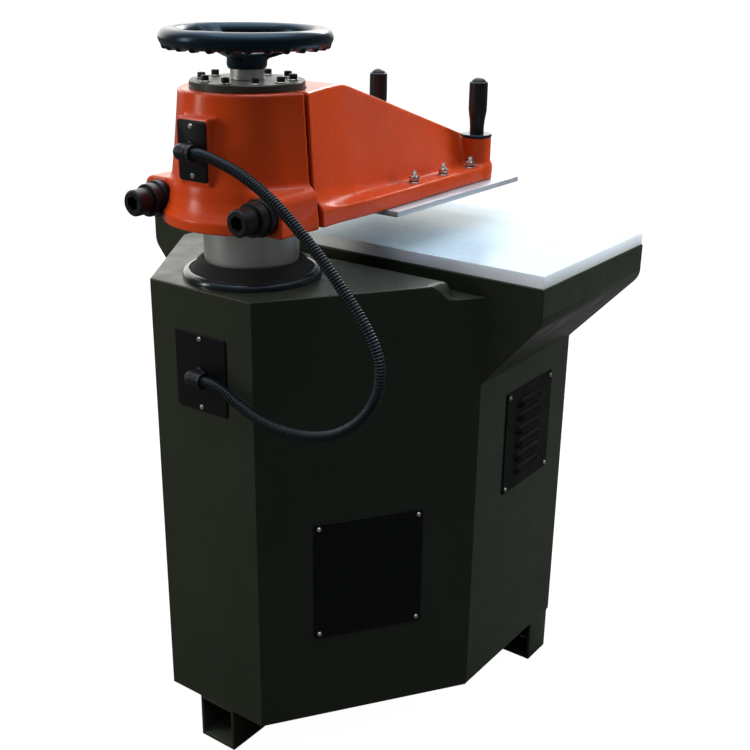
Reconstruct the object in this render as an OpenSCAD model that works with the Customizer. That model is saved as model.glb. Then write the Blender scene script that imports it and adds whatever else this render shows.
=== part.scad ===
// Hydraulic swing-arm die cutting press, standing on its feet.
// X runs along the table's long edge, Y points to the machine's rear and Z points up.
// The origin is on the floor, in the middle of the machine's width and depth.

/* [Work table] */
// Width of the table
table_w = 900; // [880:10:940]
// Depth of the table, from its front edge to its rear edge
table_d = 390; // [380:5:400]
// Height of the steel table top above the cabinet's top plate
table_lift = 6; // [4:1:10]
// Height of the table's side fascia
fascia_h = 62; // [50:1:66]
// Thickness of the cutting board
board_t = 22; // [15:1:24]
// Set-back of the cutting board from the table's edges
board_inset = 2; // [0:0.5:6]

/* [Cabinet] */
// Width of the cabinet between its side faces
cabinet_w = 680; // [660:10:700]
// Depth of the cabinet's side faces, from the table's rear edge forwards
side_d = 336; // [330:1:340]
// Width of the narrow rear face
rear_face_w = 224; // [210:2:240]
// Distance from the table's rear edge back to the rear face
rear_reach = 331; // [325:1:340]
// Height of the cabinet's top plate above the floor
cabinet_z = 890; // [888:1:890]
// Height of the cabinet's underside above the floor
foot_h = 88; // [70:1:100]
// Height of the flare between the side faces and the fascia
flare_h = 127; // [110:1:140]
// Drop of the top plate's outer corners
step_h = 32; // [20:1:34]
// Thickness of the sheet and plate walls
wall_t = 8; // [5:0.5:10]

/* [Column and cylinder] */
// Distance from the table's rear edge back to the column's axis
column_back = 201; // [196:1:206]
// Diameter of the ground steel column
column_d = 160; // [152:1:161]
// Bore of the hydraulic cylinder
cylinder_bore = 190; // [184:1:196]
// Outside diameter of the hydraulic cylinder
cylinder_d = 220; // [214:1:224]
// Full downward stroke of the column
stroke = 50; // [40:1:52]
// Outside diameter of the ring at the column's foot
flange_ring_d = 238; // [230:1:244]
// Outside diameter of the dust seal
dust_seal_d = 210; // [200:1:214]

/* [Head] */
// Height of the clamp castings' underside above the cabinet's top plate
head_lift = 98; // [96:1:100]
// Height of the head from its underside to its top face
head_h = 211; // [202:1:222]
// Outside diameter of the swivel sleeve
sleeve_d = 184; // [180:1:186]
// Diameter of the head at its top
head_top_d = 222; // [218:1:226]
// Diameter of the head above its lower lip
head_waist_d = 256; // [252:1:260]
// Diameter of the head's lower lip
head_lip_d = 290; // [286:1:294]
// Gap between the two halves of the head
split_gap = 8; // [5:0.5:12]
// Diameter of the round cover on top of the head
cover_disc_d = 186; // [185:1:190]
// Thickness of the round cover
cover_disc_t = 12; // [10:0.5:14]
// Number of cover screws
cover_screw_n = 10; // [6:1:12]
// Diameter of the cover screws' circle
cover_screw_pcd = 148; // [146:1:150]

/* [Arm] */
// Half the width of the arm's flange at its widest
flange_half_w = 155; // [152:1:158]
// Half the width of the arm's flange at its front end
flange_front_half_w = 148; // [147:1:150]
// Thickness of the arm's flange
flange_t = 27; // [22:1:30]
// Distance from the column's axis forwards to the arm's front end
arm_reach = 553; // [545:1:560]
// Distance from the column's axis forwards to the end of the arm's flat top
flat_top_reach = 143; // [138:1:150]
// Height of the arm's nose above the clamp castings' underside
nose_h = 83; // [76:1:90]
// Half the width of the arm's top
arm_top_half_w = 85; // [82:1:88]
// Half the width of the arm where its walls meet the flange
arm_foot_half_w = 110; // [106:1:112]
// Width of the press platen
platen_w = 352; // [346:1:360]
// Depth of the press platen
platen_d = 415; // [405:1:420]
// Thickness of the press platen
platen_t = 10; // [9:0.5:12]

/* [Handles and wheel] */
// Distance of each handle from the arm's middle plane
handle_x = 118; // [116:1:119]
// Distance from the column's axis forwards to the handles
handle_reach = 521; // [516:1:523]
// Diameter of the handle bosses
handle_boss_d = 57; // [52:1:58]
// Length of a handle grip above its disc
grip_h = 98; // [86:1:110]
// Largest diameter of a handle grip
grip_d = 36; // [34:1:38]
// Outside diameter of the hand wheel
wheel_d = 276; // [260:2:300]
// Height of the hand wheel's rim section
rim_h = 29; // [26:1:32]
// Number of finger grips under the rim
rim_grip_n = 27; // [18:3:30]

/* [Conduit] */
// Outside diameter of the ribbed conduit
conduit_d = 16; // [12:1:18]
// Number of ribs along the conduit
conduit_ribs = 180; // [60:1:200]
// Diameter of the elbow fittings
elbow_d = 24; // [20:1:26]

/* [Hidden] */
$fn = 64;

// Clearances
run_gap = 0.05;
part_gap = 0.3;
seat_gap = 0.05;
cut = 1;

// Colours
arm_paint = [0.75, 0.25, 0.12];
cabinet_paint = [0.17, 0.18, 0.16];
steel = [0.62, 0.63, 0.64];
dark_steel = [0.25, 0.26, 0.26];
black = [0.06, 0.06, 0.07];
bronze = [0.66, 0.5, 0.28];

// Depths along Y, from the table's rear edge
plate_t = 3;
elbow_lead = 20;
elbow_cuff_r = elbow_d / 2 + 2;
elbow_reach = plate_t + elbow_lead + elbow_cuff_r;
table_rear_y = (table_d - rear_reach - elbow_reach) / 2;
table_front_y = table_rear_y - table_d;
cabinet_front_y = table_rear_y - side_d;
rear_y = table_rear_y + rear_reach;
column_y = table_rear_y + column_back;

// Heights of the table, the cabinet and the head
table_z = cabinet_z + table_lift;
fascia_z = table_z - fascia_h;
flare_z = fascia_z - flare_h;
board_top_z = table_z + board_t;
cabinet_floor_z = foot_h + wall_t;
head_z = cabinet_z + head_lift;
head_top_z = head_z + head_h;
nose_z = head_z + nose_h;

// Column, cylinder and their stops
column_r = column_d / 2;
bore_r = cylinder_bore / 2;
cylinder_r = cylinder_d / 2;
flange_ring_h = 13;
dust_seal_h = 17;
dust_seal_top_z = cabinet_z + flange_ring_h + dust_seal_h;
bush_l = 100;
bush_z = cabinet_z - bush_l;
piston_h = 50;
piston_z = bush_z - piston_h - 10;
spring_r = 66;
spring_wire_r = 8;
spring_sides = 6;
spring_half_h = spring_wire_r * sin(60);
spring_turns = 7;
spring_spare = 32;
spring_l = 2 * spring_wire_r * (spring_turns + 1) + stroke + spring_spare;
spring_z = piston_z - spring_l;
cylinder_floor_t = 20;
cylinder_z = spring_z - cylinder_floor_t;
column_top_z = head_z + 162;
spindle_r = 13;
nut_r = 30;
nut_h = 40;

// Head, from its lower lip to its cover
sleeve_r = sleeve_d / 2;
lip_h = 18;
waist_z = head_z + 67;
waist_fillet_r = 14;
sleeve_roof_z = head_top_z - 27;
bearing_r = 45;
bearing_top_z = head_top_z - part_gap;
bearing_h = 20;
cover_top_z = head_top_z + cover_disc_t;

// Clamp bolts
clamp_x = 113;
clamp_z = head_z + 32;
clamp_boss_r = 34.5;
clamp_boss_y = column_y + 95;
clamp_head_r = 21.5;
clamp_head_h = 30;
clamp_collar_r = 30;
clamp_collar_t = 14;
clamp_washer_r = 27;
clamp_washer_t = 18;
clamp_shank_r = 15;
clamp_thread_l = 60;
clamp_key_r = 12.7;

// Arm
flange_z = head_z + 2;
flange_top_z = flange_z + flange_t;
flange_corner_r = 30;
arm_front_y = column_y - arm_reach;
flat_end_y = column_y - flat_top_reach;
split_front_y = column_y - split_gap / 2;
split_rear_y = column_y + split_gap / 2;
handle_y = column_y - handle_reach;
handle_boss_r = handle_boss_d / 2;
root_mid_y = column_y - 76;
root_waist_z = head_z + 72;
ear_top_half_w = 122;
ear_waist_half_w = 131;
ear_foot_half_w = 146;
root_mid_half_w = arm_top_half_w + 13;
root_foot_half_w = arm_foot_half_w + 15;
nose_half_w = handle_x - handle_boss_r + 1;
platen_rear_y = column_y - 176;
platen_z = flange_z - platen_t;
stud_x = 131;
stud_pitch = 95;
stud_first_y = column_y - 290;
stud_r = 5;
stud_h = 22;
nut_af_r = 9.5;
stud_nut_h = 8;
flat_washer_r = 10;
flat_washer_t = 2;
spring_washer_r = 8.5;
spring_washer_t = 2.5;

// Cover screws
cover_screw_r = 6.5;
cover_screw_h = 8;
cover_shank_r = 4;
cover_washer_r = 9;
cover_washer_t = 1.6;
cover_key_r = 3.4;
cover_screw_turn = 33;

// Handles
disc_r = 29.5;
disc_t = 5;
grip_z = nose_z + disc_t;
neck_r = 13.5;
button_travel = 3;
button_r = 14.5;
button_h = 9;
button_stem_r = 6;
button_stem_l = 16;

// Hand wheel
wheel_r = wheel_d / 2;
rim_z = head_top_z + 63;
hub_r = 32;
hub_z = head_top_z + 32;
hub_h = 22;
collar_r = 27.3;
spoke_n = 3;
spoke_w = 30;
spoke_turn = 225;
set_screw_turn = 93;
rim_grip_r = 5;
rim_section_r = rim_h / 2;
rim_land = 6;
spindle_foot_z = column_top_z - 250;
spindle_shoulder_r = 30;

// Connector plates and elbows
base_plate_w = 112;
base_plate_h = 136;
base_plate_z = cabinet_z - 143;
base_screw_pitch = 120;
head_plate_w = 60;
head_plate_h = 94;
head_plate_z = head_z + 125;
head_screw_pitch = 76;
head_pad_y = column_y + 128;
plate_corner_r = 6;
screw_head_r = 4.5;
screw_head_h = 3;
screw_shank_r = 2.5;
screw_shank_l = 10;
elbow_r = elbow_d / 2;
elbow_arm = 20;
elbow_cuff_l = 6;
base_elbow_z = base_plate_z - 2;
head_elbow_z = head_plate_z + 2;
elbow_y = rear_y + plate_t + elbow_lead;

// Cover plate on the diagonal face, and the vent in the side face
cover_w = 202;
cover_h = 228;
cover_z = 369;
cover_screw_inset = 9;
vent_w = 171;
vent_h = 203;
vent_y = table_rear_y - 183;
vent_z = flare_z - 152;
vent_t = 2.5;
louvre_n = 6;
louvre_l = 92;
louvre_pitch = 27;
louvre_r = 11;

// Front control panel
panel_w = 220;
panel_h = 90;
panel_x = cabinet_w / 2 - 150;
panel_z = flare_z - 67;
control_pitch = 42;
control_bush_r = 13;
knob_r = 15;
knob_h = 18;

// Gland of the mains cable, low on the right side
gland_r = 8;
gland_y = table_rear_y - 200;
gland_z = foot_h + 70;

// Ends of the conduit: both elbows point along -X
conduit_bore_r = conduit_d / 2 - 2.2;
rib_depth = 1.1;
conduit_start = [-elbow_arm - elbow_cuff_l, 0, head_elbow_z];
conduit_end = [-elbow_arm - elbow_cuff_l, 0, base_elbow_z];

// Route of the conduit from the head to the base, beside the elbows' own plane
conduit_route = [
    conduit_start,
    conduit_start - [conduit_d, 0, 0],
    [-70, 0, 1110],
    [-110, 0, 1099],
    [-145, 0, 1084],
    [-180, 0, 1065],
    [-214, 0, 1041],
    [-258, 0, 1005],
    [-290, 0, 975],
    [-318, 0, 946],
    [-345, 0, 916],
    [-365, 0, 888],
    [-377, 0, 860],
    [-379, 0, 832],
    [-373, 0, 804],
    [-356, 0, 773],
    [-329, 0, 745],
    [-295, 0, 723],
    [-250, 0, 708],
    [-203, 0, 703],
    [-152, 0, 707],
    [-104, 0, 722],
    [-70, 0, 738],
    conduit_end - [conduit_d, 0, 0],
    conduit_end,
];

// Points on a circle's arc, from one angle to another
function arc(centre, r, from, to, n) =
    [for (i = [0:n]) centre + r * [cos(from + (to - from) * i / n), sin(from + (to - from) * i / n)]];

// A counter-clockwise outline moved inwards by a wall's thickness
function unit(v) = v / norm(v);
function inset_corner(a, b, c, t) =
    let (u = unit(b - a), v = unit(c - b), m = [-u.y, u.x], n = [-v.y, v.x])
    b + t * (m + n) / (1 + m * n);
function inset(points, t) =
    let (n = len(points))
    [for (i = [0:n - 1]) inset_corner(points[(i + n - 1) % n], points[i], points[(i + 1) % n], t)];

// A smooth curve through the route's points
function curve_point(p, i, t) =
    let (n = len(p) - 1,
         a = p[max(i - 1, 0)], b = p[i], c = p[min(i + 1, n)], d = p[min(i + 2, n)])
    0.5 * (2 * b + (c - a) * t + (2 * a - 5 * b + 4 * c - d) * t * t
           + (3 * b - a - 3 * c + d) * t * t * t);
function route_at(p, s) =
    let (i = min(floor(s), len(p) - 2))
    curve_point(p, i, s - i);

// Length along the route at each of its points, and the place at a given length
function run_lengths(p, i = 0, total = 0) =
    i >= len(p) - 1 ? [total]
    : concat([total], run_lengths(p, i + 1, total + norm(p[i + 1] - p[i])));
function span_of(lengths, s, i = 0) =
    i >= len(lengths) - 2 || lengths[i + 1] >= s ? i : span_of(lengths, s, i + 1);
function place_at(p, lengths, s) =
    let (i = span_of(lengths, s))
    route_at(p, i + min((s - lengths[i]) / (lengths[i + 1] - lengths[i]), 1));

// A ring of points square to a direction, and a tube swept through rings
function ring(centre, along, side, r, sides) =
    let (z = unit(along), x = unit(cross(side, z)), y = cross(z, x))
    [for (i = [0:sides - 1]) centre + r * (x * cos(360 * i / sides) + y * sin(360 * i / sides))];
function tube_wall(rings, sides, start, flip) =
    [for (i = [0:rings - 2], j = [0:sides - 1])
        let (a = start + i * sides + j, b = start + i * sides + (j + 1) % sides)
        each flip ? [[a, a + sides, b], [b, a + sides, b + sides]]
                  : [[a, b, a + sides], [b, b + sides, a + sides]]];
function end_cap(outer, inner, sides, flip) =
    [for (j = [0:sides - 1])
        let (k = (j + 1) % sides)
        each flip ? [[outer + j, outer + k, inner + j], [outer + k, inner + k, inner + j]]
                  : [[outer + j, inner + j, outer + k], [outer + k, inner + j, inner + k]]];

// Base and cabinet
function footprint() = [
    [cabinet_w / 2, table_rear_y],
    [rear_face_w / 2, rear_y],
    [-rear_face_w / 2, rear_y],
    [-cabinet_w / 2, table_rear_y],
];

// Half outline of the housing's stepped top, from the middle outwards
step_x = cabinet_w / 2 - 54;
step_r = 12;
function step_outline() = concat(
    arc([step_x, cabinet_z - step_r], step_r, 90, 15, 6),
    arc([step_x + 2 * step_r, cabinet_z - step_h + step_r], step_r, 195, 270, 6)
);
function housing_outline() =
    let (half = cabinet_w / 2)
    concat(
        [[-half, foot_h], [half, foot_h], [half, cabinet_z - step_h]],
        [for (i = [len(step_outline()) - 1:-1:0]) step_outline()[i]],
        [for (p = step_outline()) [-p.x, p.y]],
        [[-half, cabinet_z - step_h]]
    );
function front_outline() = [
    [-cabinet_w / 2, foot_h], [cabinet_w / 2, foot_h], [cabinet_w / 2, flare_z],
    [table_w / 2, fascia_z], [-table_w / 2, fascia_z], [-cabinet_w / 2, flare_z],
];
function side_outline() = [
    [cabinet_front_y, foot_h], [table_rear_y, foot_h], [table_rear_y, fascia_z],
    [table_front_y, fascia_z], [cabinet_front_y, flare_z],
];

// An outline in X and Z drawn out along Y, and one in Y and Z drawn out along X
module along_y(from, to) translate([0, to, 0]) rotate([90, 0, 0]) linear_extrude(to - from) children();
module along_x(from, to) translate([from, 0, 0]) rotate([90, 0, 90]) linear_extrude(to - from) children();

module front_half(t) intersection() {
    along_y(table_front_y - cut, table_rear_y + cut) polygon(inset(front_outline(), t));
    along_x(-table_w, table_w) polygon(inset(side_outline(), t));
}
module rear_half(t) intersection() {
    translate([0, 0, foot_h + t]) linear_extrude(cabinet_z) polygon(inset(footprint(), t));
    translate([0, 0, -t]) along_y(table_rear_y - cut, rear_y + cut) polygon(housing_outline());
}
module cabinet_cavity() {
    front_half(wall_t);
    rear_half(wall_t);
    inner_half = cabinet_w / 2 - 2 * wall_t;
    translate([-inner_half, table_rear_y - 2 * wall_t, cabinet_floor_z])
        cube([2 * inner_half, 4 * wall_t, fascia_z - 2 * wall_t - cabinet_floor_z]);
    translate([-inner_half, cabinet_front_y + 2 * wall_t, flare_z - 2 * wall_t])
        cube([2 * inner_half, side_d - 4 * wall_t, 4 * wall_t]);
}

// Moves a drawing from the upright XZ plane onto the diagonal face, outside upwards
module on_diagonal() {
    turn = atan2(rear_reach, (cabinet_w - rear_face_w) / 2);
    translate([-(cabinet_w + rear_face_w) / 4, table_rear_y + rear_reach / 2, 0])
        rotate([0, 0, turn + 180]) rotate([90, 0, 0]) children();
}
module on_side() translate([-cabinet_w / 2, vent_y, 0]) rotate([90, 0, -90]) children();
module on_front() translate([panel_x, cabinet_front_y, panel_z]) rotate([90, 0, 0]) children();
module on_rear(z) translate([0, rear_y, z]) rotate([90, 0, 180]) children();
module on_head(z) translate([0, head_pad_y, z]) rotate([90, 0, 180]) children();

module at_cover_screws() on_diagonal() translate([0, cover_z, 0])
    corners(cover_w - 2 * cover_screw_inset, cover_h - 2 * cover_screw_inset) children();
module at_vent_screws() on_side() translate([0, vent_z, 0])
    corners(vent_w - 2 * cover_screw_inset, vent_h - 2 * cover_screw_inset) children();
module below(z) translate([-table_w, -table_w, z - table_w]) cube([2 * table_w, 2 * table_w, table_w]);

// Rectangle with round corners, in the middle of the plane
module round_rect(w, h, r) {
    square([w - 2 * r, h], center = true);
    square([w, h - 2 * r], center = true);
    for (x = [-1, 1], y = [-1, 1])
        translate([x * (w / 2 - r), y * (h / 2 - r)]) circle(r);
}
module corners(w, h) for (x = [-1, 1], y = [-1, 1]) translate([x * w / 2, y * h / 2, 0]) children();
module ends(h) for (y = [-1, 1]) translate([0, y * h / 2, 0]) children();

// A small round-headed screw standing on a plate, with its shank below
module plate_screw() {
    difference() {
        union() {
            cylinder(h = screw_head_h - 1, r = screw_head_r);
            translate([0, 0, screw_head_h - 1]) cylinder(h = 1, r1 = screw_head_r, r2 = screw_head_r - 1);
        }
        translate([0, 0, 1]) cylinder(h = screw_head_h, r = 2, $fn = 6);
    }
    translate([0, 0, -screw_shank_l]) cylinder(h = screw_shank_l, r = screw_shank_r);
}
module screw_holes(depth) translate([0, 0, -depth]) cylinder(h = depth + cut + plate_t, r = screw_shank_r + seat_gap);

// The cabinet is welded from three parts: behind the table, under it, and the flare that carries it
module rear_housing() color(cabinet_paint) difference() {
    rear_half(0);
    difference() {
        cabinet_cavity();
        // Bosses behind the cover plate's screws
        at_cover_screws() translate([0, 0, -wall_t - 10]) cylinder(h = 20, r = 6);
    }
    translate([0, column_y, cabinet_z - wall_t - cut]) cylinder(h = wall_t + 2 * cut, r = cylinder_r + part_gap);
    on_diagonal() translate([0, cover_z, -wall_t - cut])
        linear_extrude(wall_t + 2 * cut) round_rect(cover_w - 50, cover_h - 50, 10);
    at_cover_screws() screw_holes(screw_shank_l);
    on_rear(base_plate_z) {
        ends(base_screw_pitch) screw_holes(screw_shank_l);
        translate([0, base_elbow_z - base_plate_z, -wall_t - cut]) cylinder(h = wall_t + 2 * cut, r = elbow_r + 2);
    }
}
module front_housing() color(cabinet_paint) difference() {
    intersection() {
        front_half(0);
        below(flare_z);
    }
    cabinet_cavity();
    on_side() translate([0, vent_z, -wall_t - cut])
        linear_extrude(wall_t + 2 * cut) round_rect(louvre_l + 16, vent_h - 30, 10);
    at_vent_screws() screw_holes(screw_shank_l);
    on_front() translate([0, 0, -wall_t - cut])
        linear_extrude(wall_t + 2 * cut) round_rect(panel_w - 30, panel_h - 30, 8);
    translate([cabinet_w / 2 - wall_t - cut, gland_y, gland_z])
        rotate([0, 90, 0]) cylinder(h = wall_t + 2 * cut, r = gland_r + seat_gap);
}
module table_flare() color(cabinet_paint) difference() {
    front_half(0);
    below(flare_z);
    cabinet_cavity();
}

// Box-section feet, open at their ends
front_foot_w = 110;
module foot_section(w, l) difference() {
    translate([-w / 2, 0, 0]) cube([w, l, foot_h]);
    translate([-w / 2 + 6, -cut, 6]) cube([w - 12, l + 2 * cut, foot_h - 12]);
}
module rear_foot() color(cabinet_paint) translate([0, rear_y - 110, 0]) foot_section(82, 110);
module front_feet() color(cabinet_paint) for (side = [-1, 1])
    translate([side * (cabinet_w - front_foot_w) / 2, cabinet_front_y + wall_t, 0])
        foot_section(front_foot_w, 70);

module work_table() color(dark_steel) difference() {
    translate([-table_w / 2, table_front_y, fascia_z]) cube([table_w, table_d, fascia_h]);
    translate([-table_w / 2 + 40, table_front_y + 40, fascia_z - cut]) cube([table_w - 80, table_d - 80, fascia_h - 30 + cut]);
}
module cutting_board() color([0.85, 0.92, 0.96])
    translate([-table_w / 2 + board_inset, table_front_y + board_inset, table_z])
        cube([table_w - 2 * board_inset, table_d - 2 * board_inset, board_t]);

module at_column() translate([0, column_y, 0]) children();
module column_flange() color(black) at_column() rotate_extrude($fn = 128) polygon(concat(
    [[column_r + 3, cabinet_z], [flange_ring_d / 2, cabinet_z]],
    arc([dust_seal_d / 2, cabinet_z], flange_ring_h, 0, 90, 8),
    [[column_r + 3, cabinet_z + flange_ring_h]]
));
module dust_seal() color(black) at_column() rotate_extrude($fn = 128) polygon([
    [column_r + run_gap, cabinet_z + flange_ring_h],
    [dust_seal_d / 2, cabinet_z + flange_ring_h],
    [column_r + 4, dust_seal_top_z],
    [column_r + run_gap, dust_seal_top_z],
]);
module hydraulic_cylinder() color(steel) at_column() difference() {
    translate([0, 0, cylinder_z]) cylinder(h = cabinet_z - cylinder_z, r = cylinder_r);
    translate([0, 0, spring_z]) cylinder(h = cabinet_z, r = bore_r);
}
module guide_bush() color(bronze) at_column() translate([0, 0, bush_z]) difference() {
    cylinder(h = bush_l, r = bore_r - seat_gap);
    translate([0, 0, -cut]) cylinder(h = bush_l + 2 * cut, r = column_r + run_gap);
}

// Helix of the spring that lifts the column again
spring_steps = 12;
function spring_path() =
    let (n = spring_turns * spring_steps, rise = (spring_l - 2 * spring_half_h - 2 * part_gap) / n)
    [for (i = [0:n]) [spring_r * cos(360 * i / spring_steps), spring_r * sin(360 * i / spring_steps),
                      spring_z + spring_half_h + part_gap + rise * i]];
module solid_sweep(path, r, sides) {
    n = len(path);
    rings = [for (i = [0:n - 1]) ring(path[i], path[min(i + 1, n - 1)] - path[max(i - 1, 0)], [0, 0, 1], r, sides)];
    last = (n - 1) * sides;
    polyhedron(
        points = [for (one = rings) each one],
        faces = concat(
            tube_wall(n, sides, 0, true),
            [for (j = [1:sides - 2]) [0, j, j + 1]],
            [for (j = [1:sides - 2]) [last, last + j + 1, last + j]]
        )
    );
}
module return_spring() color(steel) at_column() solid_sweep(spring_path(), spring_wire_r, spring_sides);

// Hydraulic unit on the cabinet's floor
tank = [360, 180, 210];
tank_t = 4;
tank_y = table_rear_y - 270;
motor_r = 75;
motor_l = 200;
motor_x = -150;
motor_rib = [8, 3];
motor_rib_h = 6;
motor_end_l = 30;
motor_foot = [90, 20];
pump_l = 80;
motor_z = cabinet_floor_z + tank.z + motor_r + motor_rib_h;
pump_flange = [45, 20];
pump_body = [64, 52];
valve = [50, 60, 40];
valve_overlap = 10;
valve_setback = 30;
valve_coil = [15, 50];
module oil_tank() color(dark_steel) difference() {
    translate([-tank.x / 2, tank_y, cabinet_floor_z]) cube(tank);
    translate([-tank.x / 2 + tank_t, tank_y + tank_t, cabinet_floor_z + tank_t])
        cube(tank - 2 * tank_t * [1, 1, 1]);
}
module pump_motor() color([0.35, 0.4, 0.45]) {
    translate([motor_x, tank_y + tank.y / 2, motor_z]) rotate([0, 90, 0]) {
        cylinder(h = motor_l, r = motor_r - motor_rib_h);
        for (i = [0:23]) rotate([0, 0, 15 * i])
            translate([motor_r - motor_rib.x, -motor_rib.y / 2, motor_foot.y])
                cube([motor_rib.x, motor_rib.y, motor_l - 2 * motor_end_l]);
    }
    translate([motor_x + motor_end_l, tank_y + (tank.y - motor_foot.x) / 2, cabinet_floor_z + tank.z])
        cube([motor_l - 2 * motor_end_l, motor_foot.x, motor_foot.y]);
}
module gear_pump() color([0.55, 0.56, 0.58]) translate([motor_x + motor_l, tank_y + tank.y / 2, motor_z])
    rotate([0, 90, 0]) {
        cylinder(h = pump_flange.y, r = pump_flange.x);
        translate([-pump_body.x / 2, -pump_body.y / 2, pump_flange.y])
            cube([pump_body.x, pump_body.y, pump_l - pump_flange.y]);
    }
module valve_block() color([0.7, 0.7, 0.72])
    translate([motor_x + motor_l + pump_l - valve_overlap, tank_y + valve_setback, cabinet_floor_z + tank.z]) {
        cube(valve);
        translate([valve.x / 2, valve.y, valve.z / 2]) rotate([-90, 0, 0])
            cylinder(h = valve_coil.y, r = valve_coil.x);
    }

// Plates, vents and their screws
module rear_cover_plate() color(cabinet_paint) difference() {
    on_diagonal() translate([0, cover_z, 0]) linear_extrude(plate_t) round_rect(cover_w, cover_h, 3);
    at_cover_screws() screw_holes(cut);
}
module rear_cover_screws() color(steel) at_cover_screws() translate([0, 0, plate_t]) plate_screw();

// One pressed louvre: a quarter-round hood over a slot, open along its lower edge
module louvre_hood(l, r) rotate([0, 90, 0]) intersection() {
    translate([0, 0, -l / 2]) cylinder(h = l, r = r, $fn = 32);
    translate([-r, 0, -l / 2]) cube([r, r, l]);
}
module louvres() for (i = [0:louvre_n - 1])
    translate([0, (i - (louvre_n - 1) / 2) * louvre_pitch, vent_t]) children();
module louvre_vent() color(cabinet_paint) difference() {
    on_side() translate([0, vent_z, 0]) {
        linear_extrude(vent_t) round_rect(vent_w, vent_h, 3);
        louvres() rotate([90, 0, 0]) louvre_hood(louvre_l, louvre_r);
    }
    on_side() translate([0, vent_z, 0]) louvres() translate([0, 0, -vent_t])
        rotate([90, 0, 0]) louvre_hood(louvre_l - 2 * vent_t, louvre_r);
    at_vent_screws() screw_holes(cut);
}
module louvre_screws() color(steel) at_vent_screws() translate([0, 0, vent_t]) plate_screw();

module connector_plate(w, h, pitch, elbow_offset) difference() {
    linear_extrude(plate_t) round_rect(w, h, plate_corner_r);
    ends(pitch) screw_holes(cut);
    translate([0, elbow_offset, -cut]) cylinder(h = plate_t + 2 * cut, r = elbow_r - 3);
}
module base_connector_plate() color(black) on_rear(base_plate_z)
    connector_plate(base_plate_w, base_plate_h, base_screw_pitch, base_elbow_z - base_plate_z);
module base_connector_screws() color(steel) on_rear(base_plate_z) translate([0, 0, plate_t])
    ends(base_screw_pitch) plate_screw();

// A swivel elbow: out of the plate, round a quarter turn and into the conduit's cuff along -X
module elbow(lead) difference() {
    union() {
        cylinder(h = 5, r = elbow_r + 2, $fn = 6);
        cylinder(h = lead, r = elbow_r);
        translate([0, 0, lead]) sphere(elbow_r);
        translate([0, 0, lead]) rotate([0, 90, 0]) cylinder(h = elbow_arm, r = elbow_r);
        translate([elbow_arm, 0, lead]) rotate([0, 90, 0]) cylinder(h = elbow_cuff_l, r = elbow_cuff_r);
    }
    translate([0, 0, -cut]) cylinder(h = lead, r = conduit_bore_r);
    translate([0, 0, lead]) rotate([0, 90, 0]) cylinder(h = elbow_arm + elbow_cuff_l + cut, r = conduit_bore_r);
}
module base_elbow() color(black) on_rear(base_elbow_z) translate([0, 0, plate_t]) elbow(elbow_lead);
module head_elbow() color(black) on_head(head_elbow_z) translate([0, 0, plate_t])
    elbow(elbow_y - head_pad_y - plate_t);

// The way a path of points runs at one of them; both ends of the conduit run along X
function heading(p, i) =
    i <= 1 ? [-1, 0, 0] : i >= len(p) - 2 ? [1, 0, 0] : p[i + 1] - p[i - 1];

// The ribbed conduit: rings of two sizes in turn, with a smooth bore
module conduit_hose() color(black) translate([0, elbow_y, 0]) {
    sides = 8;
    lengths = run_lengths(conduit_route);
    total = lengths[len(lengths) - 1];
    n = 2 * conduit_ribs;
    bore_n = 49;
    at = [for (i = [0:n]) place_at(conduit_route, lengths, total * i / n)];
    bore_at = [for (i = [0:bore_n - 1]) place_at(conduit_route, lengths, total * i / (bore_n - 1))];
    side = [0, 1, 0];
    outer = [for (i = [0:n]) each ring(at[i], heading(at, i), side, conduit_d / 2 - (i % 2) * rib_depth, sides)];
    inner = [for (i = [0:bore_n - 1]) each ring(bore_at[i], heading(bore_at, i), side, conduit_bore_r, sides)];
    inner_start = len(outer);
    echo(conduit_length = total);
    polyhedron(
        points = concat(outer, inner),
        faces = concat(
            tube_wall(n + 1, sides, 0, true),
            tube_wall(bore_n, sides, inner_start, false),
            end_cap(0, inner_start, sides, true),
            end_cap(n * sides, inner_start + (bore_n - 1) * sides, sides, false)
        )
    );
}

// Front controls
function control_x(i) = (i - 2) * control_pitch;
module control_panel() color(dark_steel) on_front() difference() {
    linear_extrude(plate_t) round_rect(panel_w, panel_h, plate_corner_r);
    for (i = [0:4]) translate([control_x(i), 0, -cut]) cylinder(h = plate_t + 2 * cut, r = 6 + part_gap);
}
module on_panel(i) on_front() translate([control_x(i), 0, plate_t]) children();
module shaft(r, l) translate([0, 0, -l]) cylinder(h = l + cut, r = r);
module power_lamp() color([0.9, 0.9, 0.8]) on_panel(0) {
    cylinder(h = 6, r = 11);
    translate([0, 0, 6]) cylinder(h = 4, r1 = 9, r2 = 6);
    translate([0, 0, -plate_t]) cylinder(h = plate_t, r = 6);
}
module main_switch() color(black) on_panel(1) {
    translate([0, 0, part_gap]) cylinder(h = 6, r = knob_r);
    translate([-4, -knob_r, 6]) cube([8, 2 * knob_r, 12]);
    shaft(6, 15);
}
module motor_button() color([0.1, 0.5, 0.2]) on_panel(2) {
    translate([0, 0, 4]) cylinder(h = 6, r = 11);
    shaft(6, 15);
    cylinder(h = 5, r = 6);
}
module stop_button() color([0.75, 0.1, 0.08]) on_panel(3) {
    translate([0, 0, 8]) cylinder(h = 6, r = 17);
    translate([0, 0, 14]) cylinder(h = 5, r1 = 17, r2 = 11);
    shaft(6, 15);
    cylinder(h = 9, r = 6);
}
module depth_knob() color(black) on_panel(4) {
    translate([0, 0, part_gap]) cylinder(h = knob_h, r1 = knob_r, r2 = knob_r - 2);
    shaft(6, 15);
}
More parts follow.
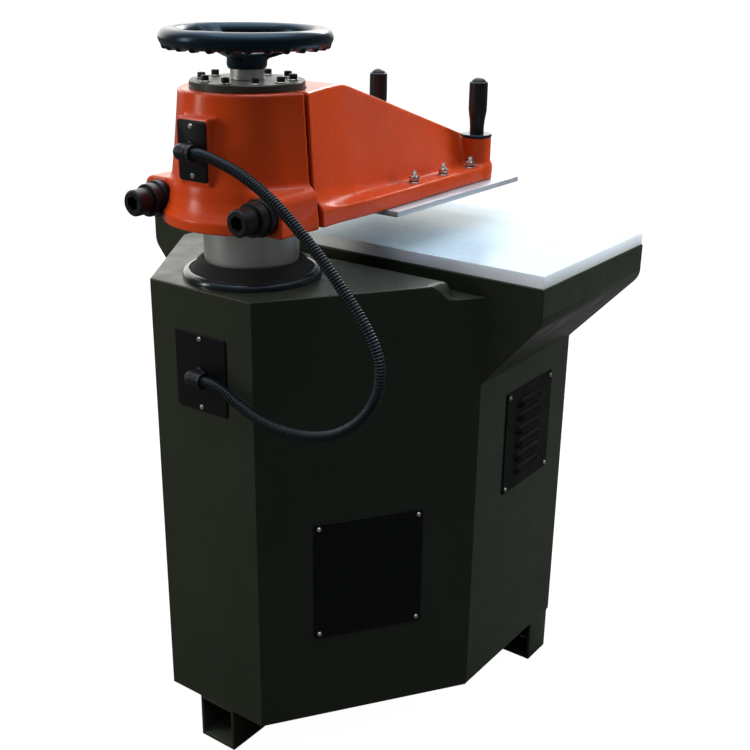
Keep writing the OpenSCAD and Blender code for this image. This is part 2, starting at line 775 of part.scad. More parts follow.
module mains_gland() color(black) translate([cabinet_w / 2, gland_y, gland_z]) rotate([0, 90, 0]) {
    cylinder(h = 5, r = gland_r + 4, $fn = 6);
    translate([0, 0, 5]) cylinder(h = 12, r1 = gland_r + 2, r2 = gland_r);
    translate([0, 0, -wall_t - 4]) cylinder(h = wall_t + 4, r = gland_r);
}

// Column and the pieces inside it
module column_rod() color(steel) at_column() difference() {
    translate([0, 0, piston_z]) cylinder(h = column_top_z - piston_z, r = column_r, $fn = 128);
    translate([0, 0, column_top_z - nut_h]) cylinder(h = nut_h + cut, r = nut_r + seat_gap);
    translate([0, 0, spindle_foot_z - 40]) cylinder(h = column_top_z, r = spindle_r + 3);
}
module piston() color(dark_steel) at_column() translate([0, 0, piston_z]) difference() {
    cylinder(h = piston_h, r = bore_r - run_gap);
    translate([0, 0, -cut]) cylinder(h = piston_h + 2 * cut, r = column_r + seat_gap);
    translate([0, 0, piston_h / 2 - 4]) difference() {
        cylinder(h = 8, r = bore_r + cut);
        cylinder(h = 8, r = bore_r - 5);
    }
}
module height_nut() color(bronze) at_column() translate([0, 0, column_top_z - nut_h]) difference() {
    cylinder(h = nut_h, r = nut_r);
    translate([0, 0, -cut]) cylinder(h = nut_h + 2 * cut, r = spindle_r + run_gap);
}
module thrust_bearing() color(steel) at_column() translate([0, 0, bearing_top_z - bearing_h]) difference() {
    cylinder(h = bearing_h, r = bearing_r - run_gap);
    translate([0, 0, -cut]) cylinder(h = bearing_h + 2 * cut, r = spindle_r + run_gap);
}

// Head: sleeve, clamp half and arm
module swivel_sleeve() color(bronze) at_column() difference() {
    translate([0, 0, head_z]) cylinder(h = head_top_z - head_z, r = sleeve_r);
    translate([0, 0, head_z - cut]) cylinder(h = sleeve_roof_z - head_z + cut, r = column_r + run_gap, $fn = 128);
    translate([0, 0, head_z]) cylinder(h = head_top_z, r = bearing_r);
    for (i = [0:cover_screw_n - 1]) rotate([0, 0, cover_screw_turn + 360 * i / cover_screw_n])
        translate([cover_screw_pcd / 2, 0, head_top_z - 20]) cylinder(h = 20 + cut, r = cover_shank_r + seat_gap);
}

// Half outline of the head: lip, fillet, waist and taper
function head_profile() = concat(
    [[0, head_z], [head_lip_d / 2, head_z], [head_lip_d / 2, head_z + lip_h]],
    arc([head_waist_d / 2 + waist_fillet_r, head_z + lip_h + waist_fillet_r], waist_fillet_r, 270, 185, 6),
    [[head_waist_d / 2, waist_z], [head_top_d / 2, head_top_z], [0, head_top_z]]
);
module head_shape() at_column() rotate_extrude($fn = 128) polygon(head_profile());
module head_bore() at_column() translate([0, 0, head_z - cut]) cylinder(h = head_top_z, r = sleeve_r + seat_gap);
module behind(y) translate([-500, y, 0]) cube([1000, 1000, 2000]);
module both_clamps() for (side = [-1, 1]) translate([side * clamp_x, 0, clamp_z]) rotate([-90, 0, 0]) children();

// Ears beside the split: straight walls that meet the round head at a tangent
function tangent_point(half_w, r) =
    let (out = split_gap / 2, d = norm([half_w, out]), a = atan2(out, half_w) + acos(min(r / d, 1)))
    r * [cos(a), sin(a)];
module ear_slab(half_w, r, z) translate([0, column_y, z]) linear_extrude(0.5) polygon([
    [-half_w, split_gap / 2], [half_w, split_gap / 2],
    tangent_point(half_w, r), [-tangent_point(half_w, r).x, tangent_point(half_w, r).y],
]);
module clamp_ears() hull() {
    ear_slab(ear_top_half_w, head_top_d / 2, head_top_z - 0.5);
    ear_slab(ear_waist_half_w, head_waist_d / 2, waist_z);
}

// Bosses round the clamp bolts, with a flat foot
module clamp_bosses() for (side = [-1, 1]) {
    translate([side * clamp_x, split_rear_y, clamp_z])
        rotate([-90, 0, 0]) cylinder(h = clamp_boss_y - split_rear_y, r = clamp_boss_r);
    translate([side * clamp_x - clamp_boss_r, split_rear_y, head_z])
        cube([2 * clamp_boss_r, clamp_boss_y - split_rear_y, clamp_z - head_z]);
    translate([side > 0 ? clamp_x - 50 : -clamp_x, split_rear_y, head_z])
        cube([50, clamp_boss_y - split_rear_y - 40, clamp_z + clamp_boss_r - head_z]);
}
module clamp_casting() color(arm_paint) difference() {
    union() {
        intersection() {
            head_shape();
            behind(split_rear_y);
        }
        clamp_ears();
        clamp_bosses();
        translate([-head_plate_w / 2 - 3, column_y, head_plate_z - head_plate_h / 2 - 4])
            cube([head_plate_w + 6, head_pad_y - column_y, head_plate_h + 8]);
    }
    head_bore();
    both_clamps() cylinder(h = 1000, r = clamp_shank_r + 1);
    both_clamps() translate([0, 0, clamp_boss_y]) cylinder(h = 200, r = clamp_collar_r + 2);
    on_head(head_plate_z) ends(head_screw_pitch) screw_holes(screw_shank_l);
}

// A thin bar across the arm, one of the shapes that its walls are drawn between
module bar(y, half_w, z) translate([-half_w, y, z]) cube([2 * half_w, 0.5, 0.5]);
module arm_upper(rear_y, rear_top, rear_foot, front_y, front_top, front_foot) hull() {
    bar(rear_y - 0.5, rear_top, head_top_z - 0.5);
    bar(rear_y - 0.5, rear_foot, root_waist_z);
    bar(front_y, front_top, head_top_z - 0.5);
    bar(front_y, front_foot, root_waist_z);
}
module arm_lower(rear_y, rear_waist, rear_foot, front_y, front_waist, front_foot) hull() {
    bar(rear_y - 0.5, rear_waist, root_waist_z);
    bar(rear_y - 0.5, rear_foot, flange_z);
    bar(front_y, front_waist, root_waist_z);
    bar(front_y, front_foot, flange_z);
}

// Root of the arm, widening in two steps from the flat walls to the split
arm_waist_half_w = arm_foot_half_w - 6;
root_waist_half_w = root_mid_half_w + 14;
module arm_root() {
    arm_upper(split_front_y, ear_top_half_w, ear_waist_half_w, root_mid_y, root_mid_half_w, root_waist_half_w);
    arm_lower(split_front_y, ear_waist_half_w, ear_foot_half_w, root_mid_y, root_waist_half_w, root_foot_half_w);
    arm_upper(root_mid_y + 1, root_mid_half_w, root_waist_half_w, flat_end_y, arm_top_half_w, arm_waist_half_w);
    arm_lower(root_mid_y + 1, root_waist_half_w, root_foot_half_w, flat_end_y, arm_waist_half_w, arm_foot_half_w);
}
module arm_body() hull() {
    bar(flat_end_y, arm_top_half_w, head_top_z - 0.5);
    bar(flat_end_y, arm_foot_half_w, flange_top_z);
    bar(handle_y - 8, nose_half_w, nose_z - 0.5);
    bar(handle_y - 18, arm_foot_half_w, flange_top_z);
}
module arm_cavity() hull() {
    bar(flat_end_y - 30, arm_top_half_w - 16, head_top_z - 40);
    bar(flat_end_y - 30, arm_foot_half_w - 16, flange_z - 2);
    bar(arm_front_y + 50, nose_half_w - 16, nose_z - 24);
    bar(arm_front_y + 50, arm_foot_half_w - 14, flange_z - 2);
}
function flange_side() = concat(
    [[ear_foot_half_w, split_front_y], [flange_half_w, flat_end_y]],
    arc([flange_front_half_w - flange_corner_r, arm_front_y + flange_corner_r], flange_corner_r, 0, -90, 12)
);
module flange_outline() polygon(concat(
    flange_side(),
    [for (i = [len(flange_side()) - 1:-1:0]) [-flange_side()[i].x, flange_side()[i].y]]
));
module platen_bolts() for (side = [-1, 1], i = [0:2])
    translate([side * stud_x, stud_first_y - i * stud_pitch, 0]) children();

module arm_casting() color(arm_paint) difference() {
    union() {
        arm_root();
        arm_body();
        translate([0, 0, flange_z]) linear_extrude(flange_t) flange_outline();
        for (side = [-1, 1]) translate([side * handle_x, handle_y, flange_top_z - cut])
            cylinder(h = nose_z - flange_top_z + cut, r = handle_boss_r);
    }
    arm_cavity();
    head_bore();
    both_clamps() translate([0, 0, split_front_y - clamp_thread_l])
        cylinder(h = clamp_thread_l + cut, r = clamp_shank_r + seat_gap);
    platen_bolts() translate([0, 0, flange_z - cut]) cylinder(h = flange_t + 2 * cut, r = stud_r + seat_gap);
    for (side = [-1, 1]) translate([side * handle_x, handle_y, 0]) {
        translate([0, 0, nose_z - 25]) cylinder(h = 25 + cut, r = 6 + seat_gap);
        translate([0, 0, nose_z]) cylinder(h = 40, r = disc_r + part_gap);
    }
}

module clamp_bolts() color(black) both_clamps() difference() {
    union() {
        translate([0, 0, split_front_y - clamp_thread_l])
            cylinder(h = clamp_boss_y + clamp_collar_t + clamp_washer_t - split_front_y + clamp_thread_l, r = clamp_shank_r);
        translate([0, 0, clamp_boss_y + clamp_collar_t + clamp_washer_t]) {
            cylinder(h = clamp_head_h - 3, r = clamp_head_r);
            translate([0, 0, clamp_head_h - 3]) cylinder(h = 3, r1 = clamp_head_r, r2 = clamp_head_r - 3);
        }
    }
    translate([0, 0, clamp_boss_y + clamp_collar_t + clamp_washer_t + clamp_head_h - 18])
        cylinder(h = 18 + cut, r = clamp_key_r, $fn = 6);
}
module clamp_collars() color(black) both_clamps() difference() {
    union() {
        translate([0, 0, clamp_boss_y]) cylinder(h = clamp_collar_t, r = clamp_collar_r);
        translate([0, 0, clamp_boss_y + clamp_collar_t]) cylinder(h = clamp_washer_t, r = clamp_washer_r);
    }
    translate([0, 0, clamp_boss_y - cut]) cylinder(h = 100, r = clamp_shank_r + seat_gap);
}

// Cover on top of the head
module cover_circle() at_column() for (i = [0:cover_screw_n - 1])
    rotate([0, 0, cover_screw_turn + 360 * i / cover_screw_n]) translate([cover_screw_pcd / 2, 0, 0]) children();
module cover_disc() color(dark_steel) difference() {
    at_column() translate([0, 0, head_top_z]) cylinder(h = cover_disc_t, r = cover_disc_d / 2, $fn = 128);
    at_column() translate([0, 0, head_top_z - cut]) cylinder(h = cover_disc_t + 2 * cut, r = spindle_r + run_gap);
    cover_circle() translate([0, 0, head_top_z - cut]) cylinder(h = cover_disc_t + 2 * cut, r = cover_shank_r + seat_gap);
}
module cover_washers() color(steel) cover_circle() translate([0, 0, cover_top_z]) difference() {
    cylinder(h = cover_washer_t, r = cover_washer_r);
    translate([0, 0, -cut]) cylinder(h = 2 * cut + cover_washer_t, r = cover_shank_r + seat_gap);
}
module cover_screws() color(black) cover_circle() translate([0, 0, cover_top_z + cover_washer_t]) difference() {
    union() {
        cylinder(h = cover_screw_h, r = cover_screw_r);
        translate([0, 0, -30]) cylinder(h = 30, r = cover_shank_r);
    }
    translate([0, 0, cover_screw_h - 4]) cylinder(h = 4 + cut, r = cover_key_r, $fn = 6);
}

// Platen and what holds it
module press_platen() color([0.72, 0.74, 0.76]) difference() {
    translate([-platen_w / 2, platen_rear_y - platen_d, platen_z]) cube([platen_w, platen_d, platen_t]);
    platen_bolts() translate([0, 0, platen_z + 4]) cylinder(h = platen_t, r = stud_r + seat_gap);
}
stud_nut_z = flange_top_z + flat_washer_t + spring_washer_t;
module platen_studs() color(steel) platen_bolts() translate([0, 0, platen_z + 4])
    cylinder(h = flange_top_z + stud_h - platen_z - 4, r = stud_r);
module platen_washers() color(steel) platen_bolts() translate([0, 0, flange_top_z]) difference() {
    union() {
        cylinder(h = flat_washer_t, r = flat_washer_r);
        translate([0, 0, flat_washer_t]) cylinder(h = spring_washer_t, r = spring_washer_r);
    }
    translate([0, 0, -cut]) cylinder(h = 10, r = stud_r + seat_gap);
}
module platen_nuts() color(steel) platen_bolts() translate([0, 0, stud_nut_z]) difference() {
    cylinder(h = stud_nut_h, r = nut_af_r, $fn = 6);
    translate([0, 0, -cut]) cylinder(h = stud_nut_h + 2 * cut, r = stud_r + seat_gap);
}

// Handles
module at_handle(side) translate([side * handle_x, handle_y, 0]) children();
module handle_discs() color(black) for (side = [-1, 1]) at_handle(side) translate([0, 0, nose_z]) difference() {
    cylinder(h = disc_t, r = disc_r);
    translate([0, 0, -cut]) cylinder(h = disc_t + 2 * cut, r = 6 + seat_gap);
}
function grip_profile() = concat(
    [[0, grip_z], [neck_r, grip_z], [neck_r, grip_z + 0.2 * grip_h], [grip_d / 2, grip_z + 0.45 * grip_h]],
    arc([grip_d / 2 - 3, grip_z + grip_h - 3], 3, 0, 90, 4),
    [[0, grip_z + grip_h]]
);
module handle_grips() color(black) for (side = [-1, 1]) at_handle(side) difference() {
    union() {
        rotate_extrude() polygon(grip_profile());
        translate([0, 0, nose_z - 24]) cylinder(h = 30, r = 6);
    }
    translate([0, 0, grip_z + grip_h - 5]) cylinder(h = 6, r = button_r + part_gap);
    translate([0, 0, grip_z + grip_h - button_stem_l - button_travel - 6])
        cylinder(h = button_stem_l + 20, r = button_stem_r + run_gap);
}
module start_button(side) color([0.12, 0.13, 0.14]) at_handle(side) translate([0, 0, grip_z + grip_h - 1.5]) {
    intersection() {
        cylinder(h = button_h, r = button_r);
        translate([0, 0, button_h - 22]) sphere(22);
    }
    translate([0, 0, -button_stem_l]) cylinder(h = button_stem_l + cut, r = button_stem_r);
}
module left_start_button() start_button(-1);
module right_start_button() start_button(1);

// Plate and screws on the head
module head_connector_plate() color(black) on_head(head_plate_z)
    connector_plate(head_plate_w, head_plate_h, head_screw_pitch, head_elbow_z - head_plate_z);
module head_connector_screws() color(steel) on_head(head_plate_z) translate([0, 0, plate_t])
    ends(head_screw_pitch) plate_screw();

// Hand wheel, collar and spindle
rim_mid_r = wheel_r - rim_section_r + 1;
function rim_profile() = concat(
    arc([rim_mid_r - rim_land / 2, rim_z + rim_section_r], rim_section_r, 90, 270, 12),
    arc([rim_mid_r - 1, rim_z + rim_section_r], rim_section_r, -90, 90, 12)
);
module handwheel() color(black) difference() {
    at_column() union() {
        rotate_extrude($fn = 128) polygon(rim_profile());
        for (i = [0:rim_grip_n - 1]) rotate([0, 0, 360 * i / rim_grip_n])
            translate([rim_mid_r, 0, rim_z + rim_grip_r - 3]) sphere(rim_grip_r, $fn = 16);
        translate([0, 0, hub_z]) cylinder(h = hub_h, r = hub_r);
        for (i = [0:spoke_n - 1]) rotate([0, 0, spoke_turn + 360 * i / spoke_n]) hull() {
            translate([20, -spoke_w / 2 + 3, hub_z + 8]) cube([4, spoke_w - 6, 10]);
            translate([rim_mid_r - 6, -spoke_w / 2 - 6, rim_z + 8]) cube([4, spoke_w + 12, 12]);
        }
    }
    at_column() translate([0, 0, hub_z - cut]) cylinder(h = hub_h - 4, r = spindle_r + seat_gap);
}
module wheel_collar() color(steel) at_column() translate([0, 0, cover_top_z + part_gap]) difference() {
    cylinder(h = hub_z - cover_top_z - part_gap, r = collar_r);
    translate([0, 0, -cut]) cylinder(h = 100, r = spindle_r + seat_gap);
    translate([0, 0, 9]) rotate([0, 0, set_screw_turn]) rotate([0, 90, 0]) cylinder(h = 40, r = 4 + seat_gap);
}
module wheel_set_screw() color(black) at_column() translate([0, 0, cover_top_z + part_gap + 9])
    rotate([0, 0, set_screw_turn]) rotate([0, 90, 0]) difference() {
        translate([0, 0, spindle_r + part_gap]) cylinder(h = collar_r - spindle_r - 1.5, r = 4);
        translate([0, 0, collar_r - 4]) cylinder(h = 4, r = 2, $fn = 6);
    }
module height_spindle() color(steel) at_column() {
    translate([0, 0, spindle_foot_z]) cylinder(h = hub_z + hub_h - 6 - spindle_foot_z, r = spindle_r);
    translate([0, 0, bearing_top_z - bearing_h - part_gap - 10]) cylinder(h = 10, r = spindle_shoulder_r);
}

rear_housing();
front_housing();
table_flare();
rear_foot();
front_feet();
work_table();
cutting_board();
column_flange();
dust_seal();
hydraulic_cylinder();
guide_bush();
return_spring();
oil_tank();
pump_motor();
gear_pump();
valve_block();
rear_cover_plate();
rear_cover_screws();
louvre_vent();
louvre_screws();
base_connector_plate();
base_connector_screws();
base_elbow();
conduit_hose();
control_panel();
power_lamp();
mains_gland();
column_rod();
piston();
height_nut();
thrust_bearing();
clamp_casting();
arm_casting();
swivel_sleeve();
clamp_bolts();
clamp_collars();
cover_disc();
cover_screws();
cover_washers();
press_platen();
platen_studs();
platen_nuts();
platen_washers();
handle_discs();
handle_grips();
head_connector_plate();
head_connector_screws();
head_elbow();
handwheel();
wheel_collar();
wheel_set_screw();
height_spindle();
left_start_button();
right_start_button();
main_switch();
stop_button();
motor_button();
depth_knob();
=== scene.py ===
"""Looks of a floor-standing swing-arm press that cuts leather with dies.

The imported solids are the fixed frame. Castings, the hand wheel, the elbows and the vent are
skinned from distance fields, so that their fillets are real shapes. Everything else is turned,
swept or folded sheet with bevelled edges. All sizes are in metres.
"""
import logging
import math
from collections.abc import Callable, Iterable
from dataclasses import dataclass, field
from enum import Enum

import bmesh
import bpy
import numpy as np
from mathutils import Matrix, Vector
from mathutils.geometry import tessellate_polygon


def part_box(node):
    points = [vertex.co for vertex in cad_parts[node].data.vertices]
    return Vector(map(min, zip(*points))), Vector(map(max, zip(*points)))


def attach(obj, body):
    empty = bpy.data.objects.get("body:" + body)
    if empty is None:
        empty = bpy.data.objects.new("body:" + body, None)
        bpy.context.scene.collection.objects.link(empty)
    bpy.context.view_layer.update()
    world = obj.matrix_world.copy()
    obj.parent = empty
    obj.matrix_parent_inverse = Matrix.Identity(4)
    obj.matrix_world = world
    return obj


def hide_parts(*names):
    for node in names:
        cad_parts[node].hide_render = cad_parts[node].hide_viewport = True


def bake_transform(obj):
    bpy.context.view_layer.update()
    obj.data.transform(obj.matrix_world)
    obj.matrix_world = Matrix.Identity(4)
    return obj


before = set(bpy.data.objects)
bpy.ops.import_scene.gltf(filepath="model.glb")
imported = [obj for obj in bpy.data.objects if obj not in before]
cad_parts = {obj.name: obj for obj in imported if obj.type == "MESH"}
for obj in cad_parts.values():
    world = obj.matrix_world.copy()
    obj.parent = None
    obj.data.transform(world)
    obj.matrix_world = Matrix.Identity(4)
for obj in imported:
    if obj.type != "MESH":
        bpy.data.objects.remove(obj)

Point = tuple[float, float, float]
Pair = tuple[float, float]
Colour = tuple[float, float, float, float]
Socket = bpy.types.NodeSocket
Node = bpy.types.Node
Tree = bpy.types.NodeTree

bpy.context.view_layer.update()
LOG = logging.getLogger("press")
MM = 0.001
FULL_TURN = 2 * math.pi
# Faces larger than this are shaded flat, so that the cabinet's panels show no gradient
PANEL_AREA = 0.008


def middle(node: str) -> Vector:
    """The middle of a CAD node's box."""
    low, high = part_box(node)
    return (low + high) / 2


def half_width(node: str) -> float:
    """Half the width of a CAD node's box, across the machine."""
    low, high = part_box(node)
    return (high.x - low.x) / 2


COLUMN_Y = middle("column_rod").y


def tint(red: float, green: float, blue: float) -> Colour:
    """An opaque colour in linear light."""
    return (red, green, blue, 1.0)


# Finishes: node groups shared by the materials


class Graph:
    """A node tree being wired, either a material's own or a group's."""

    def __init__(self, tree: Tree) -> None:
        """Starts on an empty tree."""
        self.tree = tree
        tree.nodes.clear()

    def feed(self, socket: Socket, value: object) -> None:
        """Links an output into a socket, or sets the socket's own value."""
        if isinstance(value, Socket):
            self.tree.links.new(value, socket)
        else:
            socket.default_value = value

    def fill(self, made: Node, **values: object) -> None:
        """Sets a node's properties, or its inputs by name with spaces as underscores."""
        for key, value in values.items():
            if hasattr(made, key):
                setattr(made, key, value)
            else:
                self.feed(made.inputs[key.replace("_", " ")], value)

    def node(self, kind: str, *inputs: object, **values: object) -> Node:
        """Adds a node.

        Args:
            kind: the node's type, without its common prefix
            inputs: values or outputs for its first inputs, in their order
            values: its properties, or inputs by name

        Returns:
            the node
        """
        made = self.tree.nodes.new("ShaderNode" + kind)
        self.fill(made, **values)
        for i, value in enumerate(inputs):
            self.feed(made.inputs[i], value)
        return made

    def math(self, operation: str, a: object, b: object = 0.0, clamp: bool = False) -> Socket:
        """A sum of two values or outputs, by Blender's name for the operation."""
        return self.node("Math", a, b, operation=operation, use_clamp=clamp).outputs[0]

    def product(self, a: object, b: object, amount: object) -> Socket:
        """Three factors multiplied, and clamped."""
        return self.math("MULTIPLY", self.math("MULTIPLY", a, b), amount, True)

    def raised(self, value: object, share: object, by: float, clamp: bool = True) -> Socket:
        """A value raised by a share of an amount."""
        return self.math("ADD", value, self.math("MULTIPLY", share, by), clamp)

    def dot(self, a: object, b: object) -> Socket:
        """How far two directions agree."""
        return self.node("VectorMath", a, b, operation="DOT_PRODUCT").outputs["Value"]

    def parts(self, vector: Socket) -> bpy.types.NodeOutputs:
        """A vector's parts along X, Y and Z."""
        return self.node("SeparateXYZ", vector).outputs

    def normal(self) -> Socket:
        """The surface's true normal."""
        return self.node("NewGeometry").outputs["Normal"]

    def spread(self, value: object, low: float, high: float, to: Pair = (0.0, 1.0)) -> Socket:
        """Maps a value's range smoothly onto another, and clamps it."""
        return self.node("MapRange", value, low, high, *to, interpolation_type="SMOOTHSTEP").outputs[0]

    def place(self, stretch: Point = (1.0, 1.0, 1.0), turn: float = 0.0) -> Socket:
        """Coordinates fixed to the piece, stretched along its axes."""
        at = self.node("TexCoord").outputs["Object"]
        return self.node("Mapping", at, Scale=stretch, Rotation=(0.0, 0.0, turn)).outputs[0]

    def noise(self, scale: object, detail: float = 3.0, rough: float = 0.55,
              where: Socket | None = None) -> Socket:
        """Smooth noise at a place, or over the piece, as a value near 0.5."""
        return self.node("TexNoise", Vector=self.place() if where is None else where, Scale=scale,
                         Detail=detail, Roughness=rough).outputs[0]

    def mix(self, share: object, a: object, b: object) -> Socket:
        """A colour between two others."""
        made = self.node("Mix", share, data_type="RGBA")
        self.feed(made.inputs[6], a)
        self.feed(made.inputs[7], b)
        return made.outputs[2]

    def for_camera(self, other: Node, seen: Node) -> Socket:
        """One shader for the camera's own rays, and another for the rest."""
        ray = self.node("LightPath").outputs["Is Camera Ray"]
        return self.node("MixShader", ray, other.outputs[0], seen.outputs[0]).outputs[0]


class Effects:
    """Node groups that several finishes share, each built once."""

    def __init__(self) -> None:
        """Builds every group."""
        self.worn_edges = self.build("worn_edges", self.wire_worn_edges, Radius=0.003, Amount=1.0, Scale=90.0)
        self.settled_dust = self.build("settled_dust", self.wire_dust, Amount=0.5, Scale=9.0)
        self.relief = self.build("paint_relief", self.wire_relief, Coarse=160.0, Fine=900.0, Share=0.5)
        self.patchiness = self.build("patchiness", self.wire_patches, Scale=3.0, Contrast=1.0)
        self.turned_lines = self.build("turned_lines", self.wire_turned, Rings=1500.0, Axis_Y=COLUMN_Y)
        self.scuffs = self.build("scuffs", self.wire_scuffs, Scale=30.0, Amount=0.5)
        # painted shade in slots and inner corners, found by occlusion
        self.painted_crevice_shade = self.build("painted_crevice_shade", self.wire_painted_crevice_shade, Reach=0.02, Amount=0.5)

    @staticmethod
    def build(name: str, wire: Callable[..., Socket], **inputs: float) -> Tree:
        """Makes one group.

        Args:
            name: the group's name
            wire: draws the group's inside from the inputs, and returns its output
            inputs: names of number inputs and their usual values

        Returns:
            the group
        """
        tree = bpy.data.node_groups.new(name, "ShaderNodeTree")
        for key, value in inputs.items():
            made = tree.interface.new_socket(key, in_out="INPUT", socket_type="NodeSocketFloat")
            made.default_value = value
        tree.interface.new_socket("Value", in_out="OUTPUT", socket_type="NodeSocketFloat")
        graph = Graph(tree)
        given = tree.nodes.new("NodeGroupInput").outputs
        tree.links.new(wire(graph, given), tree.nodes.new("NodeGroupOutput").inputs[0])
        return tree

    @staticmethod
    def wire_worn_edges(graph: Graph, given: bpy.types.NodeOutputs) -> Socket:
        """Corners where a rounded normal leaves the true one, broken up by noise."""
        rounded = graph.node("Bevel", samples=4, Radius=given["Radius"]).outputs[0]
        corner = graph.spread(graph.dot(rounded, graph.normal()), 0.995, 0.9)
        patch = graph.spread(graph.noise(given["Scale"], 5.0, 0.7), 0.45, 0.62)
        return graph.product(corner, patch, given["Amount"])

    @staticmethod
    def wire_dust(graph: Graph, given: bpy.types.NodeOutputs) -> Socket:
        """Dust that lies on what faces up."""
        lies = graph.spread(graph.parts(graph.normal())[2], 0.55, 0.98)
        patch = graph.spread(graph.noise(given["Scale"], 6.0, 0.65), 0.3, 0.75, (0.35, 1.0))
        return graph.product(lies, patch, given["Amount"])

    @staticmethod
    def wire_relief(graph: Graph, given: bpy.types.NodeOutputs) -> Socket:
        """Sprayed paint's orange peel, over a coarser unevenness."""
        mixed = graph.node("Mix", given["Share"], data_type="FLOAT")
        graph.feed(mixed.inputs[2], graph.noise(given["Fine"], 2.0))
        graph.feed(mixed.inputs[3], graph.noise(given["Coarse"], 2.0))
        return mixed.outputs[0]

    @staticmethod
    def wire_patches(graph: Graph, given: bpy.types.NodeOutputs) -> Socket:
        """Broad uneven patches from 0 to 1."""
        wide = graph.math("SUBTRACT", graph.noise(given["Scale"], 4.0, 0.6), 0.5)
        return graph.math("ADD", graph.math("MULTIPLY", graph.math("MULTIPLY", wide, given["Contrast"]), 2.5),
                          0.5, True)

    @staticmethod
    def wire_turned(graph: Graph, given: bpy.types.NodeOutputs) -> Socket:
        """Fine rings that a lathe or a grinding wheel leaves round an upright axis."""
        x, y, z = graph.parts(graph.node("TexCoord").outputs["Object"])
        back = graph.math("SUBTRACT", y, given["Axis_Y"])
        squares = graph.math("ADD", graph.math("MULTIPLY", x, x), graph.math("MULTIPLY", back, back))
        ring = graph.math("ADD", graph.math("SQRT", squares), z)
        line = graph.node("CombineXYZ", graph.math("MULTIPLY", ring, given["Rings"])).outputs[0]
        return graph.noise(1.0, 3.0, 0.7, line)

    @staticmethod
    def wire_painted_crevice_shade(graph: Graph, given: bpy.types.NodeOutputs) -> Socket:
        """Painted shade in slots and inner corners, where occlusion finds them, broken up by noise."""
        sky = graph.node("AmbientOcclusion", samples=6, Distance=given["Reach"]).outputs["AO"]
        patch = graph.spread(graph.noise(60.0, 4.0), 0.25, 0.6, (0.6, 1.0))
        return graph.product(graph.spread(sky, 0.62, 0.12), patch, given["Amount"])

    @staticmethod
    def wire_scuffs(graph: Graph, given: bpy.types.NodeOutputs) -> Socket:
        """Thin straight scuffs in two directions, only here and there."""
        first = graph.noise(given["Scale"], 4.0, 0.7, graph.place((1.0, 16.0, 1.0), 0.35))
        second = graph.noise(given["Scale"], 4.0, 0.7, graph.place((14.0, 1.0, 1.0), 0.2))
        both = graph.math("MAXIMUM", graph.spread(first, 0.6, 0.72), graph.spread(second, 0.62, 0.74))
        return graph.product(both, graph.spread(graph.noise(7.0, 3.0), 0.42, 0.68), given["Amount"])


EFFECTS = Effects()


@dataclass(frozen=True)
class Finish:
    """What every finish has and can do."""

    name: str
    slot: str
    colour: Colour
    deep: Colour

    def wire(self, graph: Graph, shader: Node) -> None:
        """Wires the shader's inputs. Each kind of finish has its own."""
        raise NotImplementedError

    def material(self) -> bpy.types.Material:
        """The finish's material, built at its first use."""
        found = bpy.data.materials.get(self.name)
        if found is None:
            found = bpy.data.materials.new(self.name)
            found.use_nodes = True
            graph = Graph(found.node_tree)
            shader = graph.node("BsdfPrincipled")
            graph.node("OutputMaterial", shader.outputs[0])
            self.wire(graph, shader)
        return found

    @staticmethod
    def effect(graph: Graph, tree: Tree, **values: float) -> Socket:
        """Places a shared effect with its own values, and returns its output."""
        made = graph.node("Group", node_tree=tree)
        for key, value in values.items():
            made.inputs[key].default_value = value
        return made.outputs[0]

    def tones(self, graph: Graph, scale: float, contrast: float) -> tuple[Socket, Socket]:
        """Both colours of the finish in broad patches, and the patches' own value."""
        patches = self.effect(graph, EFFECTS.patchiness, Scale=scale, Contrast=contrast)
        return graph.mix(patches, self.colour, self.deep), patches

    @staticmethod
    def bump(graph: Graph, shader: Node, height: object, strength: float, distance: float) -> None:
        """Raises the surface a little by a height."""
        made = graph.node("Bump", Strength=strength, Distance=distance, Height=height)
        graph.fill(shader, Normal=made.outputs[0])


@dataclass(frozen=True)
class Paint(Finish):
    """Sprayed paint on sheet or on a rough casting."""

    worn: Colour
    roughness: float
    gloss: float
    relief: float = 0.0004
    coarse: float = 160.0
    coarse_share: float = 0.5
    wear: float = 0.5
    dust: float = 0.25
    dust_colour: Colour = tint(0.30, 0.28, 0.24)
    # share of painted shade in slots and inner corners
    painted_crevice_shade: float = 0.0

    def wire(self, graph: Graph, shader: Node) -> None:
        """Two tones of paint with worn corners, dust and orange peel, and painted shade in slots and inner
        corners where asked for.
        """
        base, _ = self.tones(graph, 4.0, 0.9)
        worn = self.effect(graph, EFFECTS.worn_edges, Radius=0.0022, Amount=self.wear, Scale=70.0)
        dust = self.effect(graph, EFFECTS.settled_dust, Amount=self.dust, Scale=8.0)
        base = graph.mix(dust, graph.mix(worn, base, self.worn), self.dust_colour)
        # painted shade: the paint goes near black where occlusion finds slots and inner corners
        if self.painted_crevice_shade:
            shade_share = self.effect(graph, EFFECTS.painted_crevice_shade, Reach=0.028, Amount=self.painted_crevice_shade)
            base = graph.mix(shade_share, base, tint(0.02, 0.008, 0.005))
        varied = graph.spread(graph.noise(25.0, 5.0), 0.3, 0.7,
                              (self.roughness - 0.06, self.roughness + 0.06))
        graph.fill(shader, Base_Color=base, Roughness=graph.raised(varied, dust, 0.35),
                   Specular_IOR_Level=self.gloss)
        height = self.effect(graph, EFFECTS.relief, Coarse=self.coarse, Fine=1100.0, Share=self.coarse_share)
        self.bump(graph, shader, height, 0.6, self.relief)


